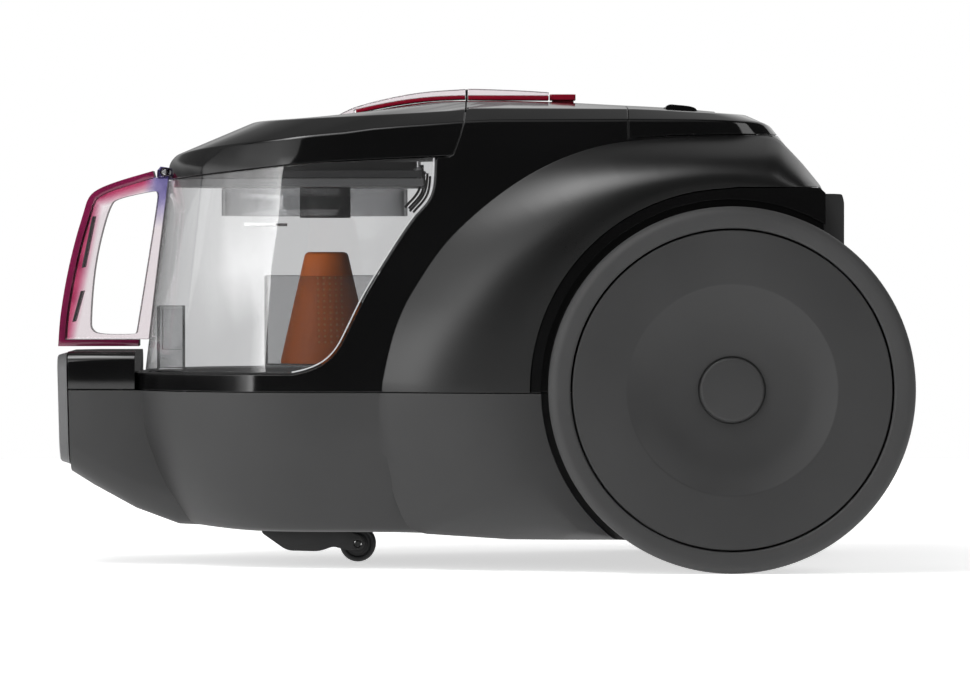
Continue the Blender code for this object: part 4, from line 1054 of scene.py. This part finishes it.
def wall_bar(name, side, x0, x1, z0, z1, parts=12):
    """A thin printed bar that follows the container's wall."""
    rings = []
    for k in range(parts + 1):
        x = x0 + (x1 - x0) * k / parts
        y = on_wall(x, (z0 + z1) / 2)
        rings.append([(x, side * (y - d), z)
                      for d, z in ((0.04, z0), (0.04, z1), (-0.3, z1), (-0.3, z0))])
    keep(stack(name, rings), "bin", "white", look="print_white")


rim = bin_form("lid_rim", 8.3)
clip(rim, box("rim_outline", AHEAD, -26, -WIDE, WIDE, 180.8, 188.4))
cut(rim,
    bin_form("rim_room", 10.3, z0=80, z1=230),
    box("rim_tongue_clearance", -160, -134, -6, 6, 170, 200))
keep(rim, "lid", "matte_black")
CATCH_PIN = [(0.8, 180.8), (0.8, 183.6), (2.0, 183.9), (2.3, 184.6), (1.9, 185.4), (1.0, 185.7),
             (1.0, 188.6)]
for side, s in SIDES:
    keep(lathe("catch_pin_" + side, "z", (-27.0, s * 87.4), CATCH_PIN, 32), "lid", "steel")
    line = offset(WINDOW_LINE, 1.0), offset(WINDOW_LINE, 1.65)
    # A thin light grey strip along each window's edge: a painted highlight of the frame's edge,
    # not a separate part.
    painted_highlight_strip = bin_form("window_highlight_strip_" + side, -0.15, z0=84)
    cut(painted_highlight_strip, bin_form("highlight_strip_room_" + side, 0.9, z0=80, z1=240))
    clip(painted_highlight_strip, prism("highlight_strip_line_" + side, line[0] + line[1][::-1], s * 130, s * 40))
    keep(painted_highlight_strip, "bin", "white", look="painted_highlight_strip")
for side, s in SIDES:
    for k, d in enumerate((3.6, 6.4)):
        near, far = offset(WINDOW_LINE, d), offset(WINDOW_LINE, d + 1.1)
        pick = [i for i, p in enumerate(near) if 164 < p[1] < 185]
        keep(prism("rear_rib_%s_%d" % (side, k), [near[i] for i in pick]
                   + [far[i] for i in reversed(pick)], s * 80, s * 86), "bin", "matte_black")
keep(box("trim_seal", -5.5, -4.5, -11.6, 11.6, 212.8, 223.2), "chassis", "rubber",
     look="rubber_dark")


def foam_block(name, node, cuts=26):
    """A cut slab of open-cell foam: soft corners, faces that swell a little, an uneven skin."""
    lo, hi = [Vector(c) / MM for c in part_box(node)]
    mid, half = (lo + hi) / 2, (hi - lo) / 2
    bm = bmesh.new()
    bmesh.ops.create_cube(bm, size=2.0)
    bmesh.ops.subdivide_edges(bm, edges=bm.edges, cuts=cuts, use_grid_fill=True)
    for v in bm.verts:
        p = v.co.copy()
        for a in range(3):
            b, c = (a + 1) % 3, (a + 2) % 3
            swell = (1 - p[b] ** 4) * (1 - p[c] ** 4)
            v.co[a] = p[a] * (half[a] - 0.9 + 0.8 * swell)
        edge = max(abs(p[0]) + abs(p[1]), abs(p[1]) + abs(p[2]), abs(p[0]) + abs(p[2]))
        v.co *= 1.0 - 0.012 * max(edge - 1.85, 0.0) / 0.15
        v.co += 0.1 * noise.noise_vector(v.co * 0.35)
        v.co = (v.co + mid) * MM
    me = bpy.data.meshes.new(name)
    bm.to_mesh(me)
    bm.free()
    ob = add_object(name, me)
    return ob


for name, node in (("motor_foam", "premotor_filter"), ("outlet_foam", "exhaust_filter")):
    keep(foam_block(name, node), "chassis", "foam", node, smooth=60)
for side, s in SIDES:
    wall_bar("fill_line_" + side, -s, -107.5, -92.5, 158.8, 160.2)

# ---- apply, smooth, hang on the bodies
dg = bpy.context.evaluated_depsgraph_get()
fresh = {}
for ob, *_ in PIECES:
    if ob.modifiers:
        fresh[ob.name] = bpy.data.meshes.new_from_object(ob.evaluated_get(dg))
for ob, body, slot, nodes, smooth in PIECES:
    if ob.name in fresh:
        old = ob.data
        ob.modifiers.clear()
        ob.data = fresh[ob.name]
        bpy.data.meshes.remove(old)
    me = ob.data
    bm = bmesh.new()
    bm.from_mesh(me)
    bmesh.ops.remove_doubles(bm, verts=bm.verts, dist=2e-6)
    bmesh.ops.dissolve_degenerate(bm, edges=bm.edges, dist=2e-6)
    bm.to_mesh(me)
    bm.free()
    me.shade_smooth()
    me.set_sharp_from_angle(angle=math.radians(smooth))
    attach(ob, body)
    if nodes:
        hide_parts(*nodes)
for ob in list(bpy.data.objects):
    if ob.get("tool"):
        bpy.data.objects.remove(ob, do_unlink=True)

SLOT_OF = {p["node"]: p["material_slot"] for p in frame["record"]["subparts"]}
for name, ob in frame["nodes"].items():
    if not ob.hide_render:
        ob.data.materials.clear()
        ob.data.materials.append(MATS["matte_black" if name == "caster_axle" else SLOT_OF[name]])
        ob.data.shade_smooth()
        ob.data.set_sharp_from_angle(angle=math.radians(30))

# ---- floor, light, camera
def flat(name, verts, mat):
    me = bpy.data.meshes.new(name)
    me.from_pydata(verts, [], [tuple(range(len(verts)))])
    me.materials.append(mat)
    add_object(name, me)


s = Shader("studio_white")
s.colour(s.noise(3, 2), (0.86, 0.86, 0.86), (0.88, 0.88, 0.88))
ball = s.add("TexGradient", gradient_type="SPHERICAL")
s.link(s.place((0.6, 0.6, 0.6)), ball.inputs["Vector"])
s.link(s.span(ball.outputs["Fac"], 1.0, 0.6, 0.45, 0.8), s.b.inputs["Emission Strength"])
s.set(Roughness=0.7, Emission_Color=(1, 1, 1, 1))
FLOOR_R, FLOOR_SIDES = 1.6, 96
ring = [place("z", (0, 0), FLOOR_R, 2 * math.pi * k / FLOOR_SIDES, 0) for k in range(FLOOR_SIDES)]
flat("studio_floor", ring, MATS["studio_white"])

world = bpy.data.worlds.new("studio")
scene.world = world
world.use_nodes = True
nt = world.node_tree
bg = nt.nodes["Background"]
bg.inputs["Color"].default_value = (1, 1, 1, 1)
bg.inputs["Strength"].default_value = 0.06
seen = nt.nodes.new("ShaderNodeBackground")
seen.inputs["Color"].default_value = (1, 1, 1, 1)
seen.inputs["Strength"].default_value = 1.0
path = nt.nodes.new("ShaderNodeLightPath")
mix = nt.nodes.new("ShaderNodeMixShader")
nt.links.new(path.outputs["Is Camera Ray"], mix.inputs["Fac"])
nt.links.new(bg.outputs["Background"], mix.inputs[1])
nt.links.new(seen.outputs["Background"], mix.inputs[2])
nt.links.new(mix.outputs["Shader"], nt.nodes["World Output"].inputs["Surface"])


def softbox(name, centre, target, width, height, radiance):
    """A rectangular light that faces target; radiance is what a mirror would show."""
    data = bpy.data.lights.new(name, "AREA")
    data.shape, data.size, data.size_y = "RECTANGLE", width, height
    data.energy = radiance * math.pi * width * height
    ob = add_object(name, data)
    ob.location = centre
    ob.rotation_euler = (Vector(target) - Vector(centre)).to_track_quat("-Z", "Y").to_euler()
    ob.visible_camera = False


def around(azimuth, elevation, distance, at=(-0.09, 0.0, 0.12)):
    """A place at an azimuth to the left of the camera side, seen from the point at."""
    a, e = math.radians(azimuth), math.radians(elevation)
    return (at[0] - distance * math.sin(a) * math.cos(e),
            at[1] - distance * math.cos(a) * math.cos(e), at[2] + distance * math.sin(e))


def glow_panel(name, rows, distance=1.4):
    """A shining sheet round the object; rows of (elevation, azimuths, radiances), low to high."""
    n = len(rows[0][1])
    me = bpy.data.meshes.new(name)
    me.from_pydata([around(a, e, distance) for e, azimuths, _ in rows for a in azimuths], [],
                   [(k * n + i, k * n + i + 1, (k + 1) * n + i + 1, (k + 1) * n + i)
                    for k in range(len(rows) - 1) for i in range(n - 1)])
    glow = me.attributes.new("glow", "FLOAT", "POINT")
    for i, v in enumerate(v for _, _, radiances in rows for v in radiances):
        glow.data[i].value = v
    m = bpy.data.materials.new(name)
    m.use_nodes = True
    m.node_tree.nodes.remove(m.node_tree.nodes["Principled BSDF"])
    em, at = (m.node_tree.nodes.new("ShaderNode" + k) for k in ("Emission", "Attribute"))
    at.attribute_name = "glow"
    m.node_tree.links.new(at.outputs["Fac"], em.inputs["Strength"])
    m.node_tree.links.new(em.outputs["Emission"],
                          m.node_tree.nodes["Material Output"].inputs["Surface"])
    me.materials.append(m)
    ob = add_object(name, me)
    ob.visible_camera = ob.visible_shadow = False


glow_panel("left_bank", [
    (-4, (39, 43, 50, 64, 84, 110), (5.6, 2.0, 0.3, 0.05, 0.03, 0.03)),
    (3, (38, 43, 51, 64, 84, 110), (6.0, 3.0, 0.5, 0.1, 0.05, 0.05)),
    (6, (37, 45, 58, 72, 86, 110), (6.0, 5.6, 5.4, 4.8, 2.2, 1.2)),
    (13, (32, 42, 58, 72, 90, 112), (6.0, 4.2, 2.6, 2.2, 1.6, 1.1)),
    (21, (28, 42, 58, 72, 90, 112), (4.2, 1.7, 1.3, 1.2, 0.8, 0.5)),
    (34, (21, 38, 56, 74, 92, 112), (1.2, 1.6, 1.4, 1.2, 0.6, 0.3)),
    (46, (16, 36, 54, 74, 92, 112), (0.5, 0.9, 1.1, 0.8, 0.6, 0.4))])
glow_panel("overhead", [
    (46.5, (-24, 0, 16, 36, 54, 96), (0.3, 0.4, 0.5, 1.0, 1.2, 0.3)),
    (55, (-24, 0, 20, 44, 64, 96), (0.4, 0.8, 5.0, 9.0, 4.0, 0.6)),
    (70, (-24, 0, 20, 44, 64, 96), (0.4, 0.8, 6.0, 10.0, 6.0, 1.0)),
    (75, (-24, 0, 20, 44, 64, 96), (0.5, 0.9, 0.9, 0.9, 0.7, 0.4)),
    (89, (-24, 0, 20, 44, 64, 96), (0.3, 0.35, 0.35, 0.35, 0.3, 0.3))])
glow_panel("back_bank", [
    (4, (113, 136, 165, 190, 235), (0.05, 0.1, 0.1, 0.2, 1.0)),
    (12, (113, 136, 165, 190, 235), (0.9, 0.6, 0.4, 0.6, 1.6)),
    (15, (113, 136, 165, 190, 235), (0.2, 0.15, 0.15, 0.8, 1.6)),
    (34, (113, 136, 165, 190, 235), (0.3, 0.15, 0.1, 0.2, 1.2)),
    (60, (113, 136, 165, 190, 235), (0.25, 0.22, 0.25, 0.3, 1.0)),
    (78, (113, 136, 165, 190, 235), (0.2, 0.25, 0.35, 0.35, 0.5))])
softbox("right_fill", around(-55, 32, 1.5), (0.05, 0, 0.1), 0.6, 0.9, 2.6)

cam = bpy.data.cameras.new("camera")
cam.sensor_width, cam.lens, cam.clip_end = 36.0, 274.2, 100.0
view = add_object("camera", cam)
view.location = (0.0037, -3.5, 0.155)
LOOK_DOWN = math.atan(103.5 / 7388.5)  # about 0.8 degrees
view.rotation_euler = (math.pi / 2 - LOOK_DOWN, 0.0, 0.0)
scene.camera = view
scene.view_settings.view_transform = "Standard"
scene.cycles.transparent_max_bounces = 32
